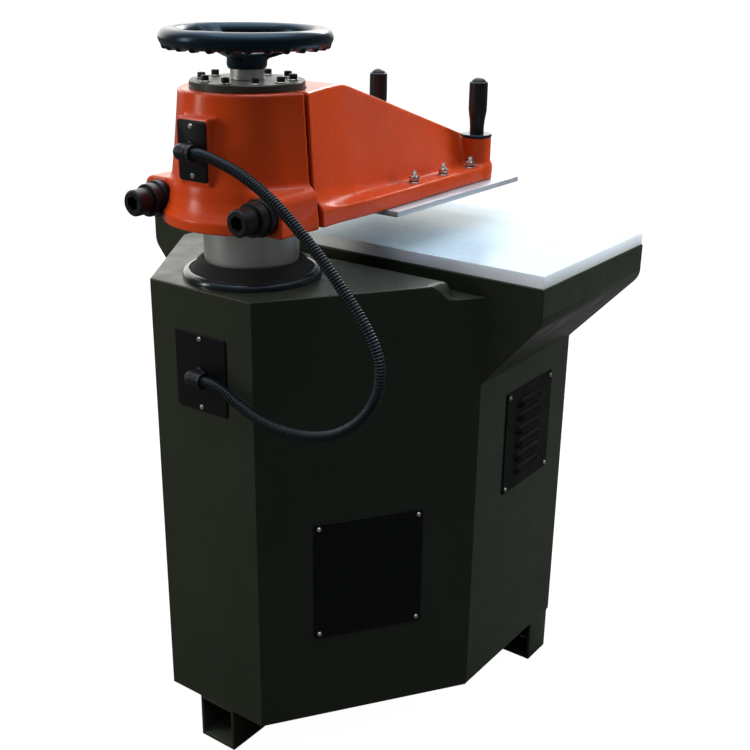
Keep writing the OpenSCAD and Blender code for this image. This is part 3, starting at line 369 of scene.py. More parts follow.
@dataclass(frozen=True)
class Steel(Finish):
    """Bare, plated or blackened steel and aluminium, ground, turned or as it came."""

    roughness: float
    metallic: float = 1.0
    rings: float = 0.0
    relief: float = 0.00004
    wear: float = 0.3
    dust: float = 0.1

    def wire(self, graph: Graph, shader: Node) -> None:
        """Metal with tool marks, faint stains and brighter corners."""
        base, _ = self.tones(graph, 14.0, 1.2)
        worn = self.effect(graph, EFFECTS.worn_edges, Radius=0.0012, Amount=self.wear, Scale=160.0)
        dust = self.effect(graph, EFFECTS.settled_dust, Amount=self.dust, Scale=18.0)
        base = graph.mix(dust, graph.mix(worn, base, tint(0.7, 0.7, 0.68)), tint(0.3, 0.28, 0.25))
        if self.rings:
            marks = self.effect(graph, EFFECTS.turned_lines, Rings=self.rings)
        else:
            marks = self.effect(graph, EFFECTS.relief, Coarse=350.0, Fine=1800.0, Share=0.5)
        varied = graph.spread(marks, 0.25, 0.75, (self.roughness - 0.08, self.roughness + 0.08))
        graph.fill(shader, Base_Color=base, Roughness=graph.raised(varied, dust, 0.3),
                   Metallic=graph.raised(self.metallic, dust, -0.8))
        self.bump(graph, shader, marks, 0.35, self.relief)


@dataclass(frozen=True)
class Moulded(Finish):
    """Moulded plastic or rubber."""

    roughness: float
    gloss: float = 0.5
    coat: float = 0.0
    grain: float = 500.0
    relief: float = 0.00008
    scuffed: float = 0.2
    dust: float = 0.15
    # painted reflection: a colour that tints every reflection of the plastic
    painted_reflection_tint: Colour = tint(1.0, 1.0, 1.0)

    def wire(self, graph: Graph, shader: Node) -> None:
        """Plastic with a faint grain, scuffs and dust, and reflections tinted with a painted colour."""
        base, patches = self.tones(graph, 20.0, 0.8)
        scuffs = self.effect(graph, EFFECTS.scuffs, Scale=60.0, Amount=self.scuffed)
        dust = self.effect(graph, EFFECTS.settled_dust, Amount=self.dust, Scale=25.0)
        base = graph.mix(dust, graph.mix(scuffs, base, tint(0.14, 0.14, 0.15)), tint(0.28, 0.27, 0.25))
        dull = graph.raised(self.roughness, graph.math("MAXIMUM", scuffs, dust), 0.3, False)
        graph.fill(shader, Base_Color=base, Roughness=graph.raised(dull, patches, 0.05),
                   Specular_IOR_Level=self.gloss, Specular_Tint=self.painted_reflection_tint, Coat_Weight=self.coat,
                   Coat_Roughness=0.06)
        height = self.effect(graph, EFFECTS.relief, Coarse=self.grain * 0.4, Fine=self.grain, Share=0.4)
        self.bump(graph, shader, height, 0.4, self.relief)


@dataclass(frozen=True)
class CutBoard(Finish):
    """Milky nylon board, scuffed by dies."""

    def wire(self, graph: Graph, shader: Node) -> None:
        """Cloudy nylon with die scuffs and a soft gloss, its sides painted whiter as painted light that
        shines out through them.
        """
        base, _ = self.tones(graph, 5.0, 1.3)
        scuffs = self.effect(graph, EFFECTS.scuffs, Scale=22.0, Amount=0.9)
        # painted light: faces that don't face up get a whiter colour, for light that shines out through the
        # nylon
        painted_side_light = graph.spread(graph.parts(graph.normal())[2], 0.7, 0.3)
        base = graph.mix(painted_side_light, graph.mix(scuffs, base, tint(0.80, 0.87, 0.92)), tint(0.90, 0.96, 0.99))
        graph.fill(shader, Base_Color=base, Roughness=graph.raised(0.26, scuffs, 0.3), Subsurface_Weight=0.3,
                   Subsurface_Radius=(0.02, 0.028, 0.035), Subsurface_Scale=0.5, Specular_IOR_Level=0.4)
        self.bump(graph, shader, scuffs, 0.5, 0.0001)


OLIVE_BLACK = Paint("olive_black_paint", "olive_paint", tint(0.0235, 0.0290, 0.0175),
                    tint(0.0175, 0.0220, 0.0130), tint(0.05, 0.058, 0.042), 0.32, 0.22, relief=0.00025,
                    dust=0.05)
# A darker copy of the cabinet's olive paint, in the same slot, for the cover plate and the vent: painted
# shade.
OLIVE_SHADED = Paint("olive_paint_shaded", "olive_paint", tint(0.0065, 0.0075, 0.0065),
                    tint(0.0045, 0.005, 0.0045), tint(0.02, 0.02, 0.019), 0.5, 0.12, relief=0.0002, wear=0.3,
                    dust=0.06)
# The orange enamel has painted shade in its slots and inner corners.
ORANGE = Paint("orange_enamel", "orange_paint", tint(0.58, 0.058, 0.0075), tint(0.50, 0.046, 0.006),
               tint(0.68, 0.12, 0.025), 0.25, 0.32, relief=0.0003, coarse=90.0, coarse_share=0.8,
               wear=0.3, dust=0.1, dust_colour=tint(0.5, 0.24, 0.13), painted_crevice_shade=0.85)
BLACK_SHEET = Paint("black_sheet_paint", "black_sheet", tint(0.006, 0.006, 0.007), tint(0.004, 0.004, 0.005),
                    tint(0.03, 0.03, 0.03), 0.42, 0.15, relief=0.0001, wear=0.2, dust=0.05)
GREY_COVER = Paint("grey_cover_paint", "grey_disc", tint(0.036, 0.040, 0.034), tint(0.026, 0.029, 0.024),
                   tint(0.16, 0.17, 0.15), 0.36, 0.35, relief=0.0001, dust=0.22)
TANK_GREY = Paint("tank_paint", "tank_paint", tint(0.07, 0.08, 0.07), tint(0.05, 0.06, 0.05),
                  tint(0.2, 0.2, 0.2), 0.4, 0.4)
GROUND_STEEL = Steel("ground_steel", "ground_steel", tint(0.30, 0.29, 0.265), tint(0.20, 0.195, 0.18), 0.15,
                     rings=1800.0)
SPRING_STEEL = Steel("spring_steel", "spring_steel", tint(0.25, 0.25, 0.26), tint(0.15, 0.15, 0.15), 0.35)
BLACK_OXIDE = Steel("black_oxide_steel", "black_oxide", tint(0.012, 0.012, 0.013), tint(0.02, 0.02, 0.021),
                    0.36, metallic=0.6, wear=0.08, dust=0.05)
ZINC = Steel("zinc_plated_steel", "zinc_steel", tint(0.74, 0.73, 0.68), tint(0.6, 0.58, 0.53), 0.3)
ALUMINIUM = Steel("milled_aluminium", "aluminium", tint(0.60, 0.62, 0.65), tint(0.52, 0.54, 0.57), 0.42,
                  metallic=0.45, wear=0.2)
BRONZE = Steel("bearing_bronze", "bronze", tint(0.5, 0.33, 0.13), tint(0.4, 0.25, 0.1), 0.3, rings=1200.0)
SLEEVE_IRON = Steel("sleeve_iron", "sleeve_iron", tint(0.2, 0.2, 0.2), tint(0.12, 0.12, 0.12), 0.4,
                    rings=900.0)
BOARD = CutBoard("milky_nylon", "board_nylon", tint(0.44, 0.585, 0.67), tint(0.37, 0.50, 0.58))
# The wheel, the conduit and the glossy ring have their reflections painted bluish.
WHEEL_BLACK = Moulded("wheel_bakelite", "wheel_plastic", tint(0.004, 0.006, 0.009),
                      tint(0.006, 0.009, 0.012), 0.22, 0.45, grain=300.0, relief=0.00004, scuffed=0.1,
                      dust=0.02, painted_reflection_tint=tint(0.35, 0.68, 0.95))
MOULDED_BLACK = Moulded("moulded_black", "black_plastic", tint(0.006, 0.007, 0.008),
                        tint(0.009, 0.010, 0.011), 0.36, 0.3, relief=0.0001, scuffed=0.05, dust=0.02)
CONDUIT_BLACK = Moulded("conduit_nylon", "black_plastic", tint(0.004, 0.005, 0.006),
                        tint(0.006, 0.007, 0.009), 0.28, 0.4, scuffed=0.03, dust=0.02,
                        painted_reflection_tint=tint(0.8, 0.92, 1.0))
GLOSSY_RING = Moulded("glossy_black_ring", "black_oxide", tint(0.006, 0.007, 0.008),
                      tint(0.010, 0.010, 0.010), 0.17, 0.6, coat=0.2, grain=200.0, relief=0.00015, dust=0.08,
                      painted_reflection_tint=tint(0.7, 0.88, 1.0))
SEAL_RUBBER = Moulded("seal_rubber", "seal_rubber", tint(0.008, 0.008, 0.008), tint(0.014, 0.014, 0.013), 0.5)
GREEN_KNOB = Moulded("green_button", "green_plastic", tint(0.01, 0.2, 0.05), tint(0.01, 0.16, 0.04), 0.25)
RED_KNOB = Moulded("red_button", "red_plastic", tint(0.5, 0.012, 0.01), tint(0.4, 0.01, 0.01), 0.25)
LAMP_LENS = Moulded("lamp_lens", "lamp_lens", tint(0.75, 0.75, 0.68), tint(0.65, 0.65, 0.6), 0.15, 0.6)


# Shapes: a bench for meshes, and fields for cast and moulded forms


def mm(*values: float) -> tuple[float, ...]:
    """Millimetres as a tuple of metres."""
    return tuple(value * MM for value in values)


def polar(r: float, angle: float, z: float) -> Point:
    """A point at a radius, an angle and a height."""
    return (r * math.cos(angle), r * math.sin(angle), z)


def circle(r: float, steps: int) -> list[Pair]:
    """Points round a circle."""
    return [polar(r, FULL_TURN * i / steps, 0.0)[:2] for i in range(steps)]


def arc(centre: Pair, r: float, start: float, end: float, steps: int) -> list[Pair]:
    """Points on an arc between two angles in degrees."""
    turns = [math.radians(start + (end - start) * i / steps) for i in range(steps + 1)]
    return [(centre[0] + r * math.cos(a), centre[1] + r * math.sin(a)) for a in turns]


def round_rect(w: float, h: float, r: float) -> list[Pair]:
    """A rectangle with round corners, in the middle of its plane."""
    x, y = w / 2 - r, h / 2 - r
    corners = ((x, y), (-x, y), (-x, -y), (x, -y))
    return [point for i, corner in enumerate(corners) for point in arc(corner, r, 90 * i, 90 * i + 90, 6)]


def disc_edge(r: float, low: float, high: float, below: float, above: float) -> list[Pair]:
    """Outer profile of a turned disc, chamfered below and above."""
    return [(r - below, low), (r, low + below), (r, high - above), (r - above, high)]


def hoop(centre: Vector, r: float, side: Vector, up: Vector, steps: int) -> list[Vector]:
    """Points round a centre, in the plane of two directions."""
    turns = [FULL_TURN * j / steps for j in range(steps)]
    return [centre + r * (math.cos(a) * side + math.sin(a) * up) for a in turns]


def quads(rows: int, across: int, start: int = 0, closed: bool = True,
          again: bool = False) -> list[list[int]]:
    """Four-sided faces between rows of points.

    Args:
        rows: number of rows
        across: points in a row
        start: number of the first point
        closed: whether a row's ends join
        again: whether the last row joins the first

    Returns:
        the faces' corners
    """
    faces = []
    for i in range(rows if again else rows - 1):
        low, high = start + i * across, start + (i + 1) % rows * across
        faces += [[low + j, low + (j + 1) % across, high + (j + 1) % across, high + j]
                  for j in range(across if closed else across - 1)]
    return faces


class Axis(Enum):
    """Direction that a turned or drawn-out shape stands in."""

    UP = Matrix.Identity(4)
    BACK = Matrix.Rotation(-math.pi / 2, 4, "X")
    LEFT = Matrix.Rotation(-math.pi / 2, 4, "Y")
    RIGHT = Matrix.Rotation(math.pi / 2, 4, "Y")

    def at(self, x: float = 0.0, y: float = 0.0, z: float = 0.0) -> Matrix:
        """A matrix that stands a shape in this direction at a place."""
        return Matrix.Translation((x, y, z)) @ self.value


@dataclass
class Bench:
    """A mesh under work, in metres."""

    mesh: bmesh.types.BMesh = field(default_factory=bmesh.new)

    def add(self, points: Iterable[Point], faces: Iterable[list[int]],
            at: Matrix = Matrix.Identity(4)) -> "Bench":
        """Adds points and the faces between them, moved by a matrix."""
        corners = [self.mesh.verts.new(at @ Vector(point)) for point in points]
        for face in faces:
            self.mesh.faces.new([corners[i] for i in face])
        return self

    def tube(self, rings: list[list[Point]]) -> "Bench":
        """A skin over rings of points, with flat ends."""
        across, last = len(rings[0]), len(rings) - 1
        ends = [list(range(across))[::-1], [last * across + j for j in range(across)]]
        return self.add([point for ring in rings for point in ring], quads(len(rings), across) + ends)

    def lathe(self, profile: list[Pair], steps: int = 64, at: Matrix = Matrix.Identity(4)) -> "Bench":
        """Turns an outline of radius and height round its axis.

        Args:
            profile: points from the foot to the top, which close the ends unless the last is the first
            steps: number of facets round the axis
            at: where the shape stands

        Returns:
            the bench
        """
        points: list[Point] = []
        rows: list[list[int]] = []
        for r, z in profile:
            count = 1 if r < 1e-7 else steps
            rows.append(list(range(len(points), len(points) + count)))
            points += [polar(r, FULL_TURN * i / steps, z) for i in range(count)]
        faces = []
        for low, high in zip(rows, rows[1:]):
            for i in range(steps):
                a, b = low[i % len(low)], low[(i + 1) % len(low)]
                c, d = high[(i + 1) % len(high)], high[i % len(high)]
                faces.append([k for n, k in enumerate((a, b, c, d)) if k not in (a, b, c, d)[:n]])
        if profile[0] != profile[-1]:
            faces += [row[::sign] for row, sign in ((rows[0], -1), (rows[-1], 1)) if len(row) > 1]
        self.add(points, [face for face in faces if len(face) > 2], at)
        if profile[0] == profile[-1]:
            bmesh.ops.remove_doubles(self.mesh, verts=self.mesh.verts, dist=1e-6)
        return self

    def prism(self, outline: list[Pair], low: float, high: float, at: Matrix = Matrix.Identity(4)) -> "Bench":
        """Draws an outline out along its own Z."""
        n = len(outline)
        points = [(x, y, z) for z in (low, high) for x, y in outline]
        return self.add(points, [list(range(n))[::-1], list(range(n, 2 * n))] + quads(2, n), at)

    def block(self, low: Point, high: Point) -> "Bench":
        """A box between two corners."""
        outline = [(low[0], low[1]), (high[0], low[1]), (high[0], high[1]), (low[0], high[1])]
        return self.prism(outline, low[2], high[2])

    def round_edges(self, width: float, segments: int = 3, over: float = 28.0,
                    longer: float = 0.0) -> "Bench":
        """Rounds every edge sharper than an angle in degrees and longer than a length."""
        bm = self.mesh
        bmesh.ops.recalc_face_normals(bm, faces=bm.faces)
        limit = math.radians(over)
        sharp = [edge for edge in bm.edges if edge.is_manifold and edge.calc_face_angle(0) > limit
                 and edge.calc_length() > longer]
        bmesh.ops.bevel(bm, geom=sharp, offset=width, segments=segments, profile=0.5, affect="EDGES",
                        clamp_overlap=True, offset_type="OFFSET")
        return self

    def deepen_hole(self, z: float) -> "Bench":
        """Draws the rim of an open hole down to a height, and closes the hole there."""
        bm = self.mesh
        bmesh.ops.delete(bm, geom=[v for v in bm.verts if not v.link_faces], context="VERTS")
        rim = [edge for edge in bm.edges if edge.is_boundary]
        for made in bmesh.ops.extrude_edge_only(bm, edges=rim)["geom"]:
            if isinstance(made, bmesh.types.BMVert):
                made.co.z = z
        bmesh.ops.holes_fill(bm, edges=[edge for edge in bm.edges if edge.is_boundary], sides=0)
        return self

    def piece(self, name: str, finish: Finish, body: str, *stands_for: str,
              smooth: float = 40.0) -> bpy.types.Object:
        """Turns the bench's mesh into a piece that rides on a body.

        Args:
            name: the piece's name
            finish: what it is finished in
            body: the CAD body that it moves with, or nothing for a piece on no body
            stands_for: CAD nodes that it replaces
            smooth: edges flatter than this angle in degrees are shaded smooth

        Returns:
            the piece
        """
        bm = self.mesh
        bmesh.ops.recalc_face_normals(bm, faces=bm.faces)
        data = bpy.data.meshes.new(name)
        bm.to_mesh(data)
        bm.free()
        data.set_sharp_from_angle(angle=math.radians(smooth))
        for face in data.polygons:
            face.use_smooth = face.area < PANEL_AREA
        made = placed(name, data)
        data.materials.append(finish.material())
        if stands_for:
            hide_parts(*stands_for)
        if body:
            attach(made, body)
        LOG.info("%s: %d faces, on %s", name, len(data.polygons), body or "two bodies")
        return made


def placed(name: str, data: bpy.types.ID) -> bpy.types.Object:
    """A new object in the scene that shows a mesh, a light or a camera."""
    made = bpy.data.objects.new(name, data)
    bpy.context.scene.collection.objects.link(made)
    return made


def copied(node: str, width: float, segments: int = 2) -> Bench:
    """A CAD node's shape, cleaned of its inner edges, with its sharp edges rounded."""
    bench = Bench()
    bench.mesh.from_mesh(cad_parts[node].data)
    bmesh.ops.remove_doubles(bench.mesh, verts=bench.mesh.verts, dist=2e-6)
    bmesh.ops.dissolve_limit(bench.mesh, angle_limit=math.radians(0.5), verts=bench.mesh.verts,
                             edges=bench.mesh.edges)
    return bench.round_edges(width, segments)


class Field:
    """Distances to a form on a grid of points; the form is where they are below zero."""

    def __init__(self, node: str, step: float) -> None:
        """Lays the grid out over a CAD node's box, with a margin of two steps."""
        low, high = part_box(node)
        self.step = step
        self.start = np.array(low) - 2 * step
        counts = np.ceil((np.array(high) + 2 * step - self.start) / step).astype(int) + 1
        ranges = [self.start[i] + step * np.arange(counts[i]) for i in range(3)]
        self.x, self.y, self.z = np.meshgrid(*ranges, indexing="ij", sparse=True)
        self.shape = tuple(int(count) for count in counts)

    def ball(self, centre: Point, r: float) -> np.ndarray:
        """A ball."""
        return np.sqrt((self.x - centre[0]) ** 2 + (self.y - centre[1]) ** 2 + (self.z - centre[2]) ** 2) - r

    def rod(self, a: Point, b: Point, r: float) -> np.ndarray:
        """A rod between two points, with round ends."""
        axes = (self.x, self.y, self.z)
        along = np.array(b) - np.array(a)
        t = np.clip(sum((axis - a[i]) * along[i] for i, axis in enumerate(axes)) / (along @ along), 0, 1)
        return np.sqrt(sum((axis - a[i] - along[i] * t) ** 2 for i, axis in enumerate(axes))) - r

    def box(self, low: Point, high: Point, r: float = 0.0) -> np.ndarray:
        """A box between two corners, with its edges rounded."""
        gaps = [np.abs(axis - (low[i] + high[i]) / 2) - (high[i] - low[i]) / 2 + r
                for i, axis in enumerate((self.x, self.y, self.z))]
        outside = np.sqrt(sum(np.maximum(gap, 0) ** 2 for gap in gaps))
        inside = np.minimum(np.maximum(np.maximum(gaps[0], gaps[1]), gaps[2]), 0)
        return outside + inside - r

    def crossings(self, f: np.ndarray, cells: np.ndarray) -> np.ndarray:
        """Middle of the points where each cell's edges pass through zero."""
        total, hits = np.zeros((len(cells), 3)), np.zeros(len(cells))
        for a in np.ndindex(2, 2, 2):
            for axis in (i for i in range(3) if not a[i]):
                b = tuple(a[i] + (i == axis) for i in range(3))
                fa, fb = f[tuple((cells + a).T)], f[tuple((cells + b).T)]
                crossed = (fa < 0) != (fb < 0)
                place = np.tile(np.array(a, float), (len(cells), 1))
                place[:, axis] += np.where(crossed, fa / np.where(crossed, fa - fb, 1), 0)
                total += np.where(crossed[:, None], place, 0)
                hits += crossed
        return self.start + self.step * (cells + total / hits[:, None])

    def skin(self, distances: np.ndarray) -> tuple[np.ndarray, np.ndarray]:
        """Points and four-sided faces of the surface where the distances pass through zero."""
        f = np.ascontiguousarray(np.broadcast_to(distances, self.shape), dtype=np.float32)
        inside = f < 0
        size = np.array(f.shape)
        held = sum(inside[i:size[0] - 1 + i, j:size[1] - 1 + j, k:size[2] - 1 + k].astype(np.int8)
                   for i, j, k in np.ndindex(2, 2, 2))
        mixed = (held > 0) & (held < 8)
        cells = np.argwhere(mixed)
        number = np.full(mixed.shape, -1, np.int64)
        number[mixed] = np.arange(len(cells))
        faces = []
        for axis in range(3):
            u, v = (axis + 1) % 3, (axis + 2) % 3
            low = inside.take(range(size[axis] - 1), axis)
            edges = np.argwhere(low != inside.take(range(1, size[axis]), axis))
            edges = edges[(edges[:, u] > 0) & (edges[:, v] > 0) & (edges[:, u] < size[u] - 1)
                          & (edges[:, v] < size[v] - 1)]
            du, dv = np.eye(3, dtype=int)[u], np.eye(3, dtype=int)[v]
            ring = [edges - du - dv, edges - dv, edges, edges - du]
            made = np.stack([number[tuple(cell.T)] for cell in ring], axis=1)
            outward = low[tuple(edges.T)]
            made[~outward] = made[~outward][:, ::-1]
            faces.append(made)
        return self.crossings(f, cells), np.concatenate(faces)

    def bench(self, distances: np.ndarray, relax: int = 2) -> Bench:
        """The surface as a mesh on a bench, evened out a little."""
        points, faces = self.skin(distances)
        neighbours = np.concatenate([faces[:, [i, (i + 1) % 4]] for i in range(4)])
        neighbours = np.concatenate([neighbours, neighbours[:, ::-1]])
        count = np.bincount(neighbours[:, 0], minlength=len(points))[:, None]
        for weight in (0.5, -0.52) * relax:
            total = np.stack([np.bincount(neighbours[:, 0], points[neighbours[:, 1], i], len(points))
                              for i in range(3)], axis=1)
            points = points + weight * (total / count - points)
        return Bench().add(points.tolist(), faces.tolist())


def join(a: np.ndarray, b: np.ndarray, r: float | np.ndarray) -> np.ndarray:
    """Two forms together, with a fillet of radius r where they meet."""
    return np.maximum(r, np.minimum(a, b)) - np.hypot(np.maximum(r - a, 0), np.maximum(r - b, 0))


def meet(a: np.ndarray, b: np.ndarray, r: float) -> np.ndarray:
    """What two forms share, with its edge rounded to radius r."""
    return np.minimum(-r, np.maximum(a, b)) + np.hypot(np.maximum(r + a, 0), np.maximum(r + b, 0))


def smooth_line(at: np.ndarray, places: tuple[float, ...], values: tuple[float, ...],
                over: float) -> np.ndarray:
    """Values between places, in millimetres, with their corners evened out over a distance."""
    shifts = np.linspace(-over, over, 9) * MM
    return np.mean([np.interp(at + shift, mm(*places), mm(*values)) for shift in shifts], axis=0)


# Fasteners


def washer(bench: Bench, inner: float, outer: float, low: float, high: float, at: Matrix) -> None:
    """A flat washer with broken edges."""
    edge = 0.2 * (high - low)
    bench.lathe([(inner, low), *disc_edge(outer, low, high, edge, edge), (inner, high), (inner, low)], 40, at)


def socket_head(bench: Bench, r: float, height: float, key: float, at: Matrix, chamfer: float = 0.0006,
                steps: int = 40, knurl: float = 0.0) -> None:
    """A cap screw's head with a hexagon socket, standing on its own XY plane.

    Args:
        bench: where it is added
        r: radius of the head
        height: height of the head
        key: radius of the socket's corners
        at: where it stands
        chamfer: size of the top edge's chamfer
        steps: facets round the head
        knurl: depth of the knurl on its side, as a share of its radius
    """
    side = [(x * (1 - knurl * (i % 2)), y * (1 - knurl * (i % 2)))
            for i, (x, y) in enumerate(circle(r, steps))]
    rim, hexagon = circle(r - chamfer, steps), circle(key, 6)
    levels = ((side, 0.0), (side, height - chamfer), (rim, height), (hexagon, height),
              (hexagon, 0.45 * height))
    points = [(x, y, z) for loop, z in levels for x, y in loop]
    top = tessellate_polygon([[Vector((x, y, 0)) for x, y in loop] for loop in (rim, hexagon)])
    socket = 3 * steps
    faces = quads(3, steps) + [[2 * steps + i for i in face] for face in top] + quads(2, 6, socket)
    faces += [list(range(socket + 6, socket + 12)), list(range(steps))[::-1]]
    bench.add(points, faces, at)


def threaded(bench: Bench, r: float, low: float, high: float, pitch: float, at: Matrix) -> None:
    """A stud's thread as close rings, with a chamfered end."""
    profile = [(0.0, low), (r, low)]
    for i in range(int((high - low) / pitch) - 1):
        z = low + pitch * (i + 0.5)
        profile += [(r, z), (r - 0.55 * pitch, z + pitch / 2)]
    bench.lathe(profile + [(r - 0.8 * pitch, high), (0.0, high)], 24, at)


def nut(bench: Bench, corner_r: float, bore: float, low: float, high: float, at: Matrix, turn: float) -> None:
    """A hexagon nut with both ends chamfered by a cone."""
    turns = [FULL_TURN * i / 48 for i in range(48)]
    flat, fall = corner_r * math.cos(math.pi / 6), 0.12 * (high - low)
    sides = [flat / math.cos(a % (math.pi / 3) - math.pi / 6) for a in turns]
    cone = ((low, flat * 0.97), (low + fall, corner_r), (high - fall, corner_r), (high, flat * 0.97))
    points = [polar(min(r, limit), a + turn, z) for z, limit in cone for r, a in zip(sides, turns)]
    points += [polar(bore, a, z) for z in (high, low) for a in turns]
    bench.add(points, quads(6, len(turns), again=True), at)


# Camera, floor and light


@dataclass
class Studio:
    """The photo's camera, a pale floor and soft lights."""

    camera_at: Point = (-1.25645, 1.59165, 1.41402)
    azimuth: float = 215.838
    elevation: float = 20.8575
    roll: float = 0.8074
    lens_mm: float = 54.17
    sensor_mm: float = 36.0
    floor_size: float = 60.0
    floor_glow: float = 0.985
    glow_towards: Point = (0.75, -0.56, 0.34)
    glow_strength: float = 2.1
    sky_strength: float = 0.9
    dim_strength: float = 0.06

    def camera(self) -> None:
        """Stands the camera where the photo was taken."""
        az, el, roll = (math.radians(v) for v in (self.azimuth, self.elevation, self.roll))
        back = Vector((math.sin(az) * math.cos(el), -math.cos(az) * math.cos(el), math.sin(el)))
        right = Vector((math.cos(az), math.sin(az), 0))
        up = back.cross(right)
        turned = (math.cos(roll) * right + math.sin(roll) * up,
                  math.cos(roll) * up - math.sin(roll) * right, back)
        data = bpy.data.cameras.new("camera")
        data.lens, data.sensor_width = self.lens_mm, self.sensor_mm
        data.clip_start, data.clip_end = 0.05, 200.0
        made = placed("camera", data)
        made.matrix_world = Matrix.Translation(self.camera_at) @ Matrix(turned).transposed().to_4x4()
        bpy.context.scene.camera = made

    def floor(self) -> None:
        """A wide pale floor, which the camera sees as white apart from the shadows."""
        half = self.floor_size / 2
        data = bpy.data.meshes.new("floor")
        data.from_pydata([(-half, -half, 0), (half, -half, 0), (half, half, 0), (-half, half, 0)], [],
                         [(0, 1, 2, 3)])
        plain = bpy.data.materials.new("pale_floor")
        plain.use_nodes = True
        graph = Graph(plain.node_tree)
        shader = graph.node("BsdfPrincipled", Base_Color=tint(0.07, 0.07, 0.065), Roughness=0.9,
                            Specular_IOR_Level=0.1)
        lift = graph.node("Emission", Color=tint(1, 1, 1), Strength=self.floor_glow)
        seen = graph.node("AddShader", shader.outputs[0], lift.outputs[0])
        graph.node("OutputMaterial", graph.for_camera(shader, seen))
        data.materials.append(plain)
        placed("floor", data)

    def light(self, name: str, kind: str, towards: Vector, **values: object) -> bpy.types.Object:
        """A lamp that shines along a direction, with its own settings."""
        data = bpy.data.lights.new(name, kind)
        for key, value in values.items():
            setattr(data, key, value)
        made = placed(name, data)
        made.rotation_mode = "QUATERNION"
        made.rotation_quaternion = towards.to_track_quat("-Z", "Y")
        return made

    def panel(self, name: str, at: Point, towards: Point, size: Pair, watts: float, colour: Point,
              mirrored: bool = True) -> None:
        """A soft light panel, facing a point.

        Args:
            name: the light's name
            at: its place
            towards: the point that it faces
            size: its width and height
            watts: its power
            colour: its tint
            mirrored: whether it shows in reflections
        """
        made = self.light(name, "AREA", Vector(towards) - Vector(at), shape="RECTANGLE", size=size[0],
                          size_y=size[1], energy=watts, color=colour)
        made.location = at
        made.visible_glossy = mirrored

    def lights(self) -> None:
        """Overhead daylight, a warm window on the rear left and cooler light from the side."""
        warm, cabinet = (1.0, 0.96, 0.9), (0.0, 0.2, 0.9)
        self.light("daylight", "SUN", Vector((0.0, 0.05, -1.0)), energy=1.7, angle=math.radians(60),
                   color=(1.0, 0.99, 0.97))
        self.panel("rear_window", (2.3, 2.7, 1.9), cabinet, (0.5, 1.6), 22.0, warm)
        self.panel("rear_fill", (2.3, 2.7, 1.7), cabinet, (1.2, 2.2), 60.0, warm, False)
        self.panel("side_fill", (-2.0, -3.0, 1.9), (0.0, 0.0, 0.9), (1.2, 2.2), 104.0,
                   (0.96, 0.98, 1.0), False)
        self.panel("far_window", (0.78, -2.39, 2.57), (-0.15, 0.0, 1.02), (1.3, 0.5), 30.0, (1.0, 0.98, 0.96))

    def world(self) -> None:
        """A dim surround with a bright far side and a bluish sky, behind a white background."""
        world = bpy.data.worlds.new("surround")
        bpy.context.scene.world = world
        world.use_nodes = True
        graph = Graph(world.node_tree)
        direction = graph.node("TexCoord").outputs["Generated"]
        glow = graph.spread(graph.dot(direction, self.glow_towards), 0.62, 0.98)
        sky = graph.spread(graph.parts(direction)[2], 0.3, 0.9)
        glare = graph.math("MULTIPLY", glow, self.glow_strength)
        strength = graph.raised(glare, sky, self.sky_strength, False)
        around = graph.node("Background", Color=graph.mix(sky, tint(1.0, 0.97, 0.9), tint(0.6, 0.74, 1.0)),
                            Strength=graph.math("ADD", strength, self.dim_strength))
        plain = graph.node("Background", Color=tint(1, 1, 1), Strength=1.0)
        graph.node("OutputWorld", graph.for_camera(around, plain))
        bpy.context.scene.view_settings.view_transform = "Standard"

    def build(self) -> None:
        """Camera, floor, lights and surround."""
        self.camera()
        self.floor()
        self.lights()
        self.world()


# Sub-assemblies of the press


